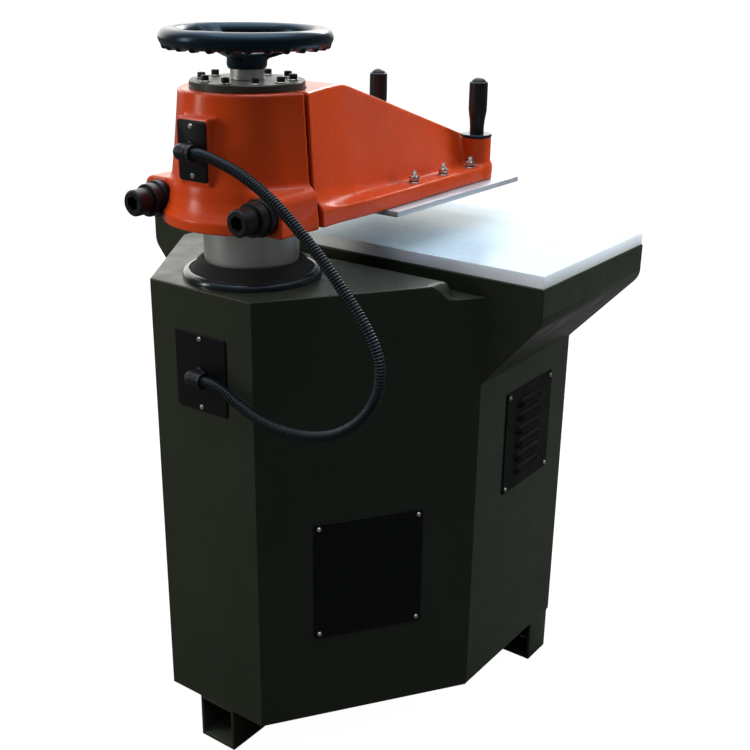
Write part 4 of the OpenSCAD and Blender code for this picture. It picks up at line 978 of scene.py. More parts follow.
@dataclass
class Conduit:
    """Ribbed conduit from the head's elbow down to the base's, in three runs split at set shares of its
    length.
    """

    diameter: float = 0.0176
    rib_pitch: float = 0.0047
    rib_depth: float = 0.0017
    groove: tuple[float, ...] = (0.0, 0.0, 0.2, 1.0, 1.0, 0.2)
    sides: int = 20
    plane_y: float = 0.365
    head_z: float = 1.115
    base_z: float = 0.745
    mouth_x: float = -0.026
    carrier_share: float = 0.56
    column_share: float = 0.75

    def route(self) -> list[Pair]:
        """The route that the solid follows, across and up, from the head to the base."""
        between = [(-70, 1110), (-110, 1099), (-145, 1084), (-180, 1065), (-214, 1041), (-258, 1005),
                   (-290, 975), (-318, 946), (-345, 916), (-365, 888), (-377, 860), (-379, 832), (-373, 804),
                   (-356, 773), (-329, 745), (-295, 723), (-250, 708), (-203, 703), (-152, 707), (-104, 722),
                   (-70, 738)]
        lead = self.mouth_x - self.diameter
        start = [(self.mouth_x, self.head_z), (lead, self.head_z)]
        return start + [mm(*p) for p in between] + [(lead, self.base_z), (self.mouth_x, self.base_z)]

    def line(self) -> np.ndarray:
        """Points along a smooth curve through the route, as many to a rib as its groove has."""
        p = np.array(self.route())
        n = len(p) - 1
        fine = []
        for i in range(n):
            a, b, c, d = p[max(i - 1, 0)], p[i], p[i + 1], p[min(i + 2, n)]
            t = np.linspace(0, 1, 40, endpoint=i == n - 1)[:, None]
            fine.append(0.5 * (2 * b + (c - a) * t + (2 * a - 5 * b + 4 * c - d) * t ** 2
                               + (3 * b - a - 3 * c + d) * t ** 3))
        fine = np.concatenate(fine)
        along = np.concatenate([[0], np.cumsum(np.linalg.norm(np.diff(fine, axis=0), axis=1))])
        at = np.linspace(0, along[-1], len(self.groove) * round(along[-1] / self.rib_pitch) + 1)
        x, z = (np.interp(at, along, fine[:, i]) for i in range(2))
        return np.stack([x, np.full(len(at), self.plane_y), z], axis=1)

    def rings(self, run: np.ndarray, first: int) -> list[list[np.ndarray]]:
        """Rings of points along one run; first is the number of its first ring."""
        ahead = np.gradient(run, axis=0)
        ahead /= np.linalg.norm(ahead, axis=1)[:, None]
        side = np.array([0.0, 1.0, 0.0])
        rings = []
        for i, (centre, up) in enumerate(zip(run, np.cross(ahead, side)), first):
            r = self.diameter / 2 - self.rib_depth * self.groove[i % len(self.groove)]
            rings.append(hoop(centre, r, side, up, self.sides))
        return rings

    def build(self) -> None:
        """Three runs, from the base up, each a ribbed tube along its stretch of the line, which runs straight
        for a diameter at both its ends.
        """
        line = self.line()
        last = len(line) - 1
        carrier, column = (round(last * share) for share in (self.carrier_share, self.column_share))
        for name, first, end, above, below in (("conduit_lower", column, last, "column", "base"),
                                               ("conduit_middle", carrier, column, "lift_carrier", "column"),
                                               ("conduit_upper", 0, carrier, "arm", "lift_carrier")):
            run = line[first:end + 1]
            made = Bench().tube(self.rings(run, first)).piece(name, CONDUIT_BLACK, "", smooth=60.0)
            if name == "conduit_upper":
                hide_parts("conduit_hose")
            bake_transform(made)


@dataclass
class Cabinet:
    """Folded and welded cabinet, its feet, the table and the cutting board."""

    fold: float = 0.0022
    fold_shares: tuple[float, ...] = (0.0, 0.07, 0.3, 0.65, 1.0)
    rear_face_half_w: float = 0.112
    step_x: float = 0.284
    step_run: float = 0.022
    step_h: float = 0.026
    gutter: float = 0.021
    flat_from: float = 0.066
    flat_end: float = 0.012
    well_r: float = 0.098
    well_foot: float = 0.012
    flare_bend: float = 0.035
    foot_l: float = 0.110
    foot_wall: float = 0.0062
    foot_edge: float = 0.0012
    foot_plate_t: float = 0.004
    foot_plate_in: float = 0.003
    ripple: float = 0.004
    bead_r: float = 0.0025
    board_edge: float = 0.0012

    def top_drop(self, x: float, over: float, away: float) -> float:
        """How far the stepped top lies below its highest point.

        Args:
            x: place across the machine
            over: distance from the table
            away: distance in from the outline

        Returns:
            the drop
        """
        rise = 1.0
        for distance in (over - self.gutter, self.step_x + self.step_run - abs(x)):
            t = min(max(distance / self.step_run, 0.0), 1.0)
            rise *= t * t * t * (t * (6 * t - 15) + 10)
        folded = max(self.fold - away, 0.0)
        return self.step_h * (1 - rise) + self.fold - math.sqrt(max(self.fold ** 2 - folded ** 2, 0.0))

    def rear_top(self, low: Vector, high: Vector) -> list[list[Point]]:
        """Rows of points over the rear half's top, close together where it steps or folds down."""
        run, rise = high.x - self.rear_face_half_w, high.y - low.y
        lean = rise / math.hypot(run, rise)
        fold = [self.fold * share for share in self.fold_shares]
        step_y = low.y + self.gutter
        rows = [low.y, low.y + 0.6 * self.gutter, *np.linspace(step_y, step_y + self.step_run, 10),
                *np.linspace(self.flat_from, high.y - self.flat_end, 24),
                *(high.y - away for away in fold[::-1])]
        shares = [*np.linspace(0.0, 0.76, 8), *np.linspace(0.79, 1.0, 22)]
        grid = []
        for y in rows:
            half = high.x - run * (y - low.y) / rise
            xs = [(half - self.fold / lean) * share for share in shares]
            xs += [half - away / lean for away in fold[-2::-1]]
            grid.append([])
            for x in [-x for x in xs[:0:-1]] + xs:
                away = min((half - abs(x)) * lean, high.y - y)
                grid[-1].append((x, y, high.z - self.top_drop(x, y - low.y, away)))
        return grid

    def rear(self) -> None:
        """Narrow rear half, its top stepped along the table and at the corners, with the column's well."""
        low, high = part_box("rear_housing")
        grid = self.rear_top(low, high)
        points = [point for row in grid for point in row]
        count, width, foot = len(grid), len(grid[0]), len(points)
        centres = [(np.mean([points[v] for v in face], axis=0), face)
                   for face in quads(count, width, closed=False)]
        faces = [face for (x, y, _), face in centres if math.hypot(x, y - COLUMN_Y) > self.well_r]
        half_w = self.rear_face_half_w
        points += [(low.x, low.y, low.z), (high.x, low.y, low.z), (half_w, high.y, low.z),
                   (-half_w, high.y, low.z)]
        faces += [[foot + 1, foot, *range(width)],
                  [foot + 3, foot + 2, foot + 1, foot],
                  [foot, foot + 3, *range((count - 1) * width, -1, -width)],
                  [foot + 2, foot + 1, *range(width - 1, count * width, width)],
                  [foot + 3, foot + 2, *range(count * width - 1, (count - 1) * width - 1, -1)]]
        bench = Bench().add(points, faces).round_edges(self.fold, longer=0.15)
        bench.deepen_hole(low.z + self.well_foot).piece("cabinet_rear", OLIVE_BLACK, "base", "rear_housing")

    def front(self) -> None:
        """Front half, flare and table as one welded box, with a soft bend under the table's fascia."""
        low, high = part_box("front_housing")
        flare_low, flare_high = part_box("table_flare")
        table_low, table_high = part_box("work_table")
        side = table_high.x - high.x
        lean = math.atan2(side, flare_high.z - flare_low.z)
        bend_top = flare_high.z + self.flare_bend * math.tan(lean / 2)
        rings = [(table_high.x, table_low.y, table_high.z)]
        for turn in np.linspace(0.0, lean, 6):
            across = self.flare_bend * (1 - math.cos(turn))
            rings.append((table_high.x - across, table_low.y + across * (low.y - table_low.y) / side,
                          bend_top - self.flare_bend * math.sin(turn)))
        rings += [(high.x, low.y, flare_low.z), (high.x, low.y, low.z)]
        points = [(x * sign, y, z) for x, front_y, z in rings
                  for sign, y in ((-1, front_y), (1, front_y), (1, high.y), (-1, high.y))]
        last = 4 * (len(rings) - 1)
        back = [4 * r + 2 for r in range(len(rings))] + [4 * r + 3 for r in range(len(rings))][::-1]
        faces = [[0, 1, 2, 3], [last + 3, last + 2, last + 1, last], back]
        faces += [[4 * r + i, 4 * r + 4 + i, 4 * r + 4 + (i + 1) % 4, 4 * r + (i + 1) % 4]
                  for r in range(len(rings) - 1) for i in (0, 1, 3)]
        bench = Bench().add(points, faces).round_edges(self.fold, over=20.0)
        bench.piece("cabinet_front", OLIVE_BLACK, "base", "front_housing", "table_flare", "work_table",
                    smooth=25.0)

    def feet(self) -> None:
        """Box-section feet, the front ones with a plate at their far ends."""
        copied("rear_foot", self.foot_edge).piece("rear_foot_section", OLIVE_BLACK, "base", "rear_foot")
        copied("front_feet", self.foot_edge).piece("front_foot_sections", OLIVE_BLACK, "base", "front_feet")
        low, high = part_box("front_feet")
        plates = Bench()
        y = low.y + self.foot_plate_in
        for side in (-1, 1):
            x0, x1 = sorted(side * (high.x - away) for away in (self.foot_wall, self.foot_l - self.foot_wall))
            plates.block((x0, y, self.foot_wall), (x1, y + self.foot_plate_t, high.z - self.foot_wall))
        plates.piece("front_foot_end_plates", OLIVE_BLACK, "base")

    def weld_beads(self) -> None:
        """Fillet welds along the tops of the foot sections."""
        bench = Bench()
        rng = np.random.default_rng(7)
        low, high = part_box("rear_foot")
        runs = [((x, low.y, high.z), (x, high.y, high.z)) for x in (low.x, high.x)]
        low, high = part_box("front_feet")
        runs += [((side * (high.x - self.foot_l), y, high.z), (side * high.x, y, high.z))
                 for side in (-1, 1) for y in (low.y, high.y)]
        for a, b in runs:
            self.bead(bench, Vector(a), Vector(b), rng)
        bench.piece("weld_beads", OLIVE_BLACK, "base")

    def bead(self, bench: Bench, a: Vector, b: Vector, rng: np.random.Generator) -> None:
        """One weld bead between two points, as overlapping ripples."""
        n = max(2, int((b - a).length / self.ripple) * 2)
        ahead = (b - a).normalized()
        side = ahead.orthogonal().normalized()
        rings = []
        for i in range(n + 1):
            size = self.bead_r * (1.0 if i % 2 else 0.72) * (0.9 + 0.2 * rng.random())
            size = self.bead_r * 0.3 if i in (0, n) else size
            rings.append(hoop(a + (b - a) * i / n, size, side, ahead.cross(side), 8))
        bench.tube(rings)

    def board(self) -> None:
        """Nylon board that lies on the table."""
        bench = Bench().block(*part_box("cutting_board")).round_edges(self.board_edge, 2)
        bench.piece("nylon_board", BOARD, "base", "cutting_board")

    def build(self) -> None:
        """Every piece of the cabinet."""
        self.rear()
        self.front()
        self.feet()
        self.weld_beads()
        self.board()


@dataclass
class ColumnFoot:
    """Column, the glossy ring at its foot and the seal inside the ring."""

    steps: int = 160
    ring_gap: float = 0.003
    ring_edge: float = 0.0018
    lip: float = 0.004

    def ring(self, column_r: float, crest: float) -> list[Pair]:
        """Outline of the ring, domed up to its crest, with a sharp lip round the seal."""
        low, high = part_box("column_flange")
        outer, inner, foot = half_width("column_flange"), column_r + self.ring_gap, low.z + self.ring_edge
        dome = [(crest + (outer - crest) * math.cos(t) ** 0.9, foot + (high.z - foot) * math.sin(t))
                for t in np.linspace(0.12, 1.35, 10)]
        lip = [(crest - 0.0012, high.z), (crest - 0.0022, high.z - 0.0012), (crest - 0.0026, high.z - 0.006)]
        return [(inner, low.z), (outer, low.z), (outer, foot), *dome, *lip, (inner, high.z - 0.006),
                (inner, low.z)]

    def build(self) -> None:
        """Ring, seal and column."""
        at = Axis.UP.at(0.0, COLUMN_Y, 0.0)
        r = half_width("column_rod")
        low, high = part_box("dust_seal")
        crest = (half_width("column_flange") + high.x) / 2 - self.lip
        foot, top, inner = low.z, high.z, r + 0.0002
        ring = self.ring(r, crest)
        Bench().lathe(ring, self.steps, at).piece(
            "column_ring", GLOSSY_RING, "base", "column_flange", smooth=50.0)
        cup = [(inner, foot - 0.004), (crest - 0.004, foot - 0.004), (crest - 0.0035, foot - 0.001),
               (crest - 0.007, foot + 0.002), (r + 0.013, top - 0.0045), (r + 0.0095, top - 0.0015),
               (r + 0.0065, top), (r + 0.003, top - 0.0004), (inner, top - 0.003), (inner, foot - 0.004)]
        Bench().lathe(cup, self.steps, at).piece("seal_cup", SEAL_RUBBER, "base", "dust_seal", smooth=50.0)
        copied("column_rod", 0.0012).piece("ground_column", GROUND_STEEL, "column", "column_rod", smooth=30.0)


@dataclass
class Casting:
    """What both castings share: the grid they are skinned on, their flat top and the sleeve's bore."""

    step: float = 0.0022
    top: float = 1.199
    bore_r: float = 0.0921
    edge: float = 0.003
    split_edge: float = 0.0015

    def bored(self, form: Field, shape: np.ndarray) -> np.ndarray:
        """The shape with the sleeve's bore through it."""
        return np.maximum(shape, self.bore_r - np.hypot(form.x, form.y - COLUMN_Y))


@dataclass
class Head(Casting):
    """Cast head that clamps the sleeve: the rear half, split from the arm."""

    foot: float = 0.988
    boss_corner: float = 0.017
    heights: tuple[float, ...] = (980, 1004, 1007, 1009, 1020, 1035, 1050, 1066, 1113, 1160, 1200)
    radii: tuple[float, ...] = (144.5, 145, 144.6, 142.2, 136, 131, 129, 126, 120, 115, 111)
    ears: tuple[float, ...] = (147, 147.5, 147.3, 146.5, 141, 135, 132.5, 131, 128, 124.7, 122.5)
    bolt_x: float = 0.113
    bolt_z: float = 1.020
    boss_r: float = 0.0345
    boss_fillet: float = 0.009
    pad_fillet: float = 0.004
    spot_r: float = 0.0325

    def body(self, form: Field) -> np.ndarray:
        """Cone with its skirt, and straight ears that run out to the split."""
        r, ear = (smooth_line(form.z, self.heights, values, 1.5) for values in (self.radii, self.ears))
        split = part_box("clamp_casting")[0].y - COLUMN_Y
        out, back = np.abs(form.x), form.y - COLUMN_Y
        turn = np.arctan2(split, ear) + np.arccos(np.minimum(r / np.hypot(ear, split), 1.0))
        straight = out * np.cos(turn) + back * np.sin(turn) - r
        return np.where(np.arctan2(back, out) < turn, straight, np.hypot(out, back) - r) * 0.98

    def bosses(self, form: Field, face_y: float) -> np.ndarray:
        """Bosses round both clamp bolts, with a flat shelf above and straight down to the foot."""
        side = np.abs(form.x) - self.bolt_x - self.boss_r
        above = form.z - self.bolt_z - self.boss_r
        return meet(meet(side, above, self.boss_corner), form.y - face_y, self.edge)

    def build(self) -> None:
        """Skins the rear half, with its pad for the connector plate and a spot face under each collar."""
        form = Field("clamp_casting", self.step)
        split_y, face_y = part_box("clamp_casting")[0].y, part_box("clamp_collars")[0].y
        low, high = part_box("head_connector_plate")
        pad = form.box((low.x - 0.003, COLUMN_Y, low.z - 0.004),
                       (high.x + 0.002, low.y, high.z + 0.004), 0.002)
        shape = join(self.body(form), self.bosses(form, face_y), self.boss_fillet)
        shape = join(shape, pad, self.pad_fillet)
        shape = meet(meet(shape, form.z - self.top, self.edge), self.foot - form.z, self.edge)
        shape = self.bored(form, meet(shape, split_y - form.y, self.split_edge))
        for side in (-1, 1):
            round_bolt = np.hypot(form.x - side * self.bolt_x, form.z - self.bolt_z) - self.spot_r
            shape = np.maximum(shape, -np.maximum(round_bolt, face_y + 0.0002 - form.y))
        form.bench(shape).piece("rear_clamp_casting", ORANGE, "arm", "clamp_casting", smooth=70.0)


@dataclass
class Arm(Casting):
    """Cast arm with its flange, sloping back and two handle bosses."""

    flange_low: float = 0.990
    flange_high: float = 1.017
    nose: float = 1.071
    slope: float = 0.335
    crest_y: float = 0.069
    boss_r: float = 0.0285
    boss_fillet: float = 0.011
    seat_r: float = 0.0298
    corner_r: float = 0.030
    stations: tuple[float, ...] = (-341, -200, -60, 30, 69, 100, 136, 172, 208)
    top_half_w: tuple[float, ...] = (89, 87, 86, 85, 85, 90, 98.5, 110, 122.5)
    foot_half_w: tuple[float, ...] = (112, 111, 108.5, 107, 109, 114, 120, 127, 134)
    flange_half_w: tuple[float, ...] = (147.5, 150, 153, 154.5, 155, 154, 152, 149, 145.6)
    fillet: tuple[float, ...] = (7, 8, 9, 12, 17, 23, 29, 33, 35)

    def along(self, form: Field, values: tuple[float, ...]) -> np.ndarray:
        """Values at the arm's stations, evened out along it."""
        return smooth_line(form.y, self.stations, values, 5.0)

    def walls(self, form: Field, front_y: float) -> np.ndarray:
        """Leaning walls under a flat top that turns into a slope."""
        fall = self.slope * (self.crest_y - form.y)
        ridge = np.minimum(self.top, self.top - fall)
        t = np.clip((ridge - form.z) / (ridge - self.flange_high), -0.2, 1.4)
        top, foot = self.along(form, self.top_half_w), self.along(form, self.foot_half_w)
        sides = (np.abs(form.x) - (top + (foot - top) * t)) * 0.97
        roof = meet(form.z - self.top, (form.z - self.top + fall) / math.hypot(1, self.slope), 0.005)
        return meet(meet(sides, roof, 0.004), front_y - form.y, 0.012)

    def flange(self, form: Field, front_y: float) -> np.ndarray:
        """Flat flange with round front corners."""
        plan = meet(np.abs(form.x) - self.along(form, self.flange_half_w), front_y - form.y, self.corner_r)
        return meet(plan, form.z - self.flange_high, 0.0025)

    def build(self) -> None:
        """Skins the arm, with its fillets growing towards the head."""
        low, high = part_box("arm_casting")
        form = Field("arm_casting", self.step)
        handle_x, handle_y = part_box("handle_grips")[1].x - 0.018, middle("handle_grips").y
        round_handle = np.hypot(np.abs(form.x) - handle_x, form.y - handle_y)
        walls, flange = self.walls(form, handle_y - 0.022), self.flange(form, low.y)
        shape = join(walls, flange, self.along(form, self.fillet))
        boss = meet(round_handle - self.boss_r, form.z - self.nose, self.edge)
        shape = join(shape, boss, self.boss_fillet)
        shape = np.maximum(shape, -np.maximum(round_handle - self.seat_r, self.nose - form.z))
        shape = meet(meet(shape, self.flange_low - form.z, 0.002), form.y - high.y, self.split_edge)
        form.bench(self.bored(form, shape)).piece(
            "arm_body_casting", ORANGE, "arm", "arm_casting", smooth=70.0)


@dataclass
class HeadFittings:
    """Round cover, cap screws, washers and the two clamp bolts."""

    screw_count: int = 10
    circle_r: float = 0.074
    first_turn: float = 33.0
    washer_r: float = 0.009
    washer_bore: float = 0.0042
    washer_t: float = 0.0016
    screw_r: float = 0.0065
    screw_h: float = 0.008
    screw_key: float = 0.0034
    knurl: float = 0.035
    collar_r: float = 0.030
    collar_bore: float = 0.0152
    collar_t: float = 0.014
    bolt_head_r: float = 0.0215
    bolt_key: float = 0.0127

    def cover(self) -> None:
        """Disc with a turned edge, ten washers and ten knurled cap screws."""
        low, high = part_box("cover_disc")
        centre, r = (low + high) / 2, half_width("cover_disc")
        disc = [(0, low.z), *disc_edge(r, low.z, high.z, 0.0008, 0.0014), (0, high.z)]
        Bench().lathe(disc, 128, Axis.UP.at(centre.x, centre.y, 0.0)).piece(
            "head_cover", GREY_COVER, "arm", "cover_disc", smooth=30.0)
        washers, screws = Bench(), Bench()
        seat = high.z + self.washer_t
        for i in range(self.screw_count):
            x, y, _ = polar(self.circle_r, math.radians(self.first_turn + 360 * i / self.screw_count), 0.0)
            at = Axis.UP.at(centre.x + x, centre.y + y, 0.0)
            washer(washers, self.washer_bore, self.washer_r, high.z, seat, at)
            spun = at @ Axis.UP.at(z=seat) @ Matrix.Rotation(i * 1.3, 4, "Z")
            socket_head(screws, self.screw_r, self.screw_h, self.screw_key, spun, steps=48, knurl=self.knurl)
        washers.piece("cover_screw_washers", ZINC, "arm", "cover_washers")
        screws.piece("cover_cap_screws", BLACK_OXIDE, "arm", "cover_screws")

    def clamps(self) -> None:
        """Two clamp bolts with a wide collar and a thick washer each."""
        low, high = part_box("clamp_collars")
        bolt_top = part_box("clamp_bolts")[1].y
        bolts, collars = Bench(), Bench()
        seat, r = low.y + self.collar_t, self.collar_r
        bore = self.collar_bore
        rings = [(bore, low.y), (r - 0.0005, low.y), (r, low.y + 0.0006), (r, seat - 0.0012),
                 (r - 0.0012, seat), (r - 0.0035, seat), (r - 0.003, seat + 0.0005),
                 (r - 0.003, high.y - 0.0015), (r - 0.0045, high.y), (bore, high.y), (bore, low.y)]
        for side in (-1, 1):
            x, z = side * (high.x - r), (low.z + high.z) / 2
            collars.lathe(rings, 72, Axis.BACK.at(x, 0.0, z))
            head = Axis.BACK.at(x, high.y, z) @ Matrix.Rotation(0.4 * side, 4, "Z")
            socket_head(bolts, self.bolt_head_r, bolt_top - high.y, self.bolt_key, head, 0.0028, 72)
        collars.piece("clamp_collar_rings", BLACK_OXIDE, "arm", "clamp_collars", smooth=30.0)
        bolts.piece("clamp_cap_bolts", BLACK_OXIDE, "arm", "clamp_bolts", smooth=30.0)

    def build(self) -> None:
        """Cover and clamp bolts."""
        self.cover()
        self.clamps()


@dataclass
class Wheel:
    """Moulded hand wheel with dished spokes and finger grips, its collar and set screw."""

    step: float = 0.0018
    rim_out: float = 0.1235
    rim_land: float = 0.0012
    rim_r: float = 0.0145
    spoke_turns: tuple[float, ...] = (225, 345, 105)
    spoke_from: float = 0.022
    spoke_run: float = 0.095
    spoke_end: float = 0.118
    spoke_half_w: float = 0.0120
    spoke_flare: float = 0.0085
    spoke_half_t: float = 0.0062
    dish: float = 0.0035
    grips: int = 27
    grip_r: float = 0.0052
    hub_r: float = 0.032
    hub_h: float = 0.022
    collar_bore: float = 0.0131

    def spoke(self, form: Field, x: np.ndarray, y: np.ndarray, turn: float, start: float,
              rim_z: float) -> np.ndarray:
        """One spoke, dished and widening towards the rim.

        Args:
            form: the grid
            x: the grid's X from the wheel's axis
            y: the grid's Y from the wheel's axis
            turn: the spoke's angle in degrees
            start: its height at the hub
            rim_z: its height at the rim

        Returns:
            distances to the spoke
        """
        a = math.radians(turn)
        out, across = x * math.cos(a) + y * math.sin(a), y * math.cos(a) - x * math.sin(a)
        t = np.clip((out - self.spoke_from) / self.spoke_run, 0, 1)
        lift = start + (rim_z - start) * t ** 1.2
        half_w = self.spoke_half_w + self.spoke_flare * t ** 2.2
        hollow = np.clip(1 - (across / half_w) ** 2, 0, 1) * np.sin(math.pi * np.clip(t, 0.05, 0.95))
        dish = self.dish * hollow
        slab = np.abs(form.z - lift + dish * 0.6) - (self.spoke_half_t - dish * 0.4)
        shape = meet(np.abs(across) - half_w, slab, 0.004) * 0.85
        return np.maximum(shape, np.maximum(-out, out - self.spoke_end))

    def rim(self) -> None:
        """Skins the wheel from its rim, hub, spokes and grips."""
        low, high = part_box("handwheel")
        centre = (low + high) / 2
        form = Field("handwheel", self.step)
        x, y = form.x - centre.x, form.y - centre.y
        r = np.hypot(x, y)
        mid_z, hub_top = high.z - self.rim_r, low.z + self.hub_h
        land = np.maximum(np.abs(r - self.rim_out + 0.001) - self.rim_land, 0)
        part, turn = FULL_TURN / self.grips, np.arctan2(y, x)
        off = (turn - np.round(turn / part) * part) * r
        grips = np.sqrt(off ** 2 + np.maximum(np.abs(r - self.rim_out) - 0.006, 0) ** 2
                        + (form.z - mid_z + self.rim_r - 0.0022) ** 2) - self.grip_r
        shape = join(np.hypot(land, form.z - mid_z) - self.rim_r, grips, 0.0025)
        hub = meet(r - self.hub_r, np.abs(form.z - low.z - self.hub_h / 2) - self.hub_h / 2, 0.003)
        hub = join(hub, form.ball((centre.x, centre.y, hub_top - 0.022), 0.030), 0.004)
        arms = [self.spoke(form, x, y, a, hub_top - 0.006, mid_z + 0.003) for a in self.spoke_turns]
        spokes = np.minimum(np.minimum(arms[0], arms[1]), arms[2])
        shape = join(shape, join(hub, spokes, 0.005), 0.008)
        form.bench(shape).piece("spoked_wheel", WHEEL_BLACK, "wheel", "handwheel", smooth=70.0)

    def collar(self) -> None:
        """Turned steel collar under the wheel, with its set screw."""
        low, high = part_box("wheel_collar")
        centre, r = (low + high) / 2, half_width("wheel_collar")
        ring = [(self.collar_bore, low.z), *disc_edge(r, low.z, high.z, 0.0008, 0.001),
                (self.collar_bore, high.z), (self.collar_bore, low.z)]
        Bench().lathe(ring, 96, Axis.UP.at(centre.x, centre.y, 0.0)).piece(
            "turned_collar", GROUND_STEEL, "wheel", "wheel_collar", smooth=30.0)
        spot = middle("wheel_set_screw")
        turn = Matrix.Rotation(math.atan2(spot.y - centre.y, spot.x - centre.x), 4, "Z")
        sunk = Axis.UP.at(z=r - 0.003)
        at = Axis.UP.at(centre.x, centre.y, spot.z) @ turn @ Axis.RIGHT.value @ sunk
        screw = Bench()
        socket_head(screw, 0.004, 0.0035, 0.002, at, 0.0004, 24)
        screw.piece("collar_set_screw", ZINC, "wheel", "wheel_set_screw")

    def build(self) -> None:
        """Wheel and collar."""
        self.rim()
        self.collar()


@dataclass
class Platen:
    """Pressing plate and the studs, nuts and washers that hold it."""

    edge: float = 0.0009
    stud_r: float = 0.005
    thread_pitch: float = 0.0015
    nut_r: float = 0.0095
    nut_bore: float = 0.0046
    washer_r: float = 0.010
    washer_bore: float = 0.0051
    washer_t: float = 0.002
    spring_washer_r: float = 0.0085

    def build(self) -> None:
        """Plate, six studs, six nuts and their washers."""
        bench = Bench().block(*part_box("press_platen")).round_edges(self.edge, 2)
        bench.piece("pressing_plate", ALUMINIUM, "arm", "press_platen")
        nut_low, nut_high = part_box("platen_nuts")
        wash_low, wash_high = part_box("platen_washers")
        low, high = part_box("platen_studs")
        studs, nuts, washers, springs = Bench(), Bench(), Bench(), Bench()
        first, last = low.y + self.stud_r, high.y - self.stud_r
        flat_top = wash_low.z + self.washer_t
        for side in (-1, 1):
            for i in range(3):
                at = Axis.UP.at(side * (high.x - self.stud_r), first + (last - first) * i / 2, 0.0)
                threaded(studs, self.stud_r, low.z, high.z, self.thread_pitch, at)
                nut(nuts, self.nut_r, self.nut_bore, nut_low.z, nut_high.z, at, 0.3 + 0.7 * i)
                washer(washers, self.washer_bore, self.washer_r, wash_low.z, flat_top, at)
                washer(springs, self.washer_bore, self.spring_washer_r, flat_top, wash_high.z, at)
        studs.piece("threaded_studs", ZINC, "arm", "platen_studs")
        nuts.piece("hexagon_nuts", ZINC, "arm", "platen_nuts", smooth=25.0)
        washers.piece("flat_washers", ZINC, "arm", "platen_washers")
        springs.piece("spring_washers", BLACK_OXIDE, "arm")


@dataclass
class Handles:
    """Two grips on discs, each with its start button in the top."""

    steps: int = 64
    # Radius of the grip at shares of its height
    grip: tuple[Pair, ...] = ((0.0, 0.0), (0.0135, 0.0), (0.0137, 0.15), (0.0146, 0.26), (0.0165, 0.38),
                              (0.0176, 0.47), (0.0178, 0.6))
    button_r: float = 0.0145

    def button(self, top: float, crown: float) -> list[Pair]:
        """Outline of a start button, domed up to its crown."""
        rise = crown - top
        ball = (self.button_r ** 2 + rise * rise) / (2 * rise)
        span = math.degrees(math.asin(self.button_r / ball))
        dome = arc((0.0, crown - ball), ball, 90 - span, 90, 7)[1:-1]
        return [(0.0, top - 0.006), (self.button_r - 0.0001, top - 0.006), (self.button_r, top - 0.0005),
                *dome, (0.0, crown)]

    def build(self) -> None:
        """Discs, grips and buttons."""
        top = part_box("handle_grips")[1].z
        low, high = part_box("handle_discs")
        disc_r = (high.y - low.y) / 2
        disc = [(0.0, low.z), *disc_edge(disc_r, low.z, high.z, 0.001, 0.0012), (0.0, high.z)]
        grip = [(r, high.z + share * (top - high.z)) for r, share in self.grip] + [(0.0176, top - 0.006)]
        grip += arc((0.0156, top - 0.003), 0.002, 0, 70, 4)
        grip += [(0.0148, top), (0.0146, top - 0.004), (0.0, top - 0.004)]
        discs, grips = Bench(), Bench()
        for side, name in ((-1, "left"), (1, "right")):
            at = Axis.UP.at(side * (high.x - disc_r), (low.y + high.y) / 2, 0.0)
            discs.lathe(disc, self.steps, at)
            grips.lathe(grip, self.steps, at)
            node = f"{name}_start_button"
            Bench().lathe(self.button(top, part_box(node)[1].z), self.steps, at).piece(
                f"{node}_cap", MOULDED_BLACK, f"{name}_button", node, smooth=60.0)
        discs.piece("handle_base_discs", WHEEL_BLACK, "arm", "handle_discs", smooth=30.0)
        grips.piece("hand_grips", MOULDED_BLACK, "arm", "handle_grips", smooth=60.0)


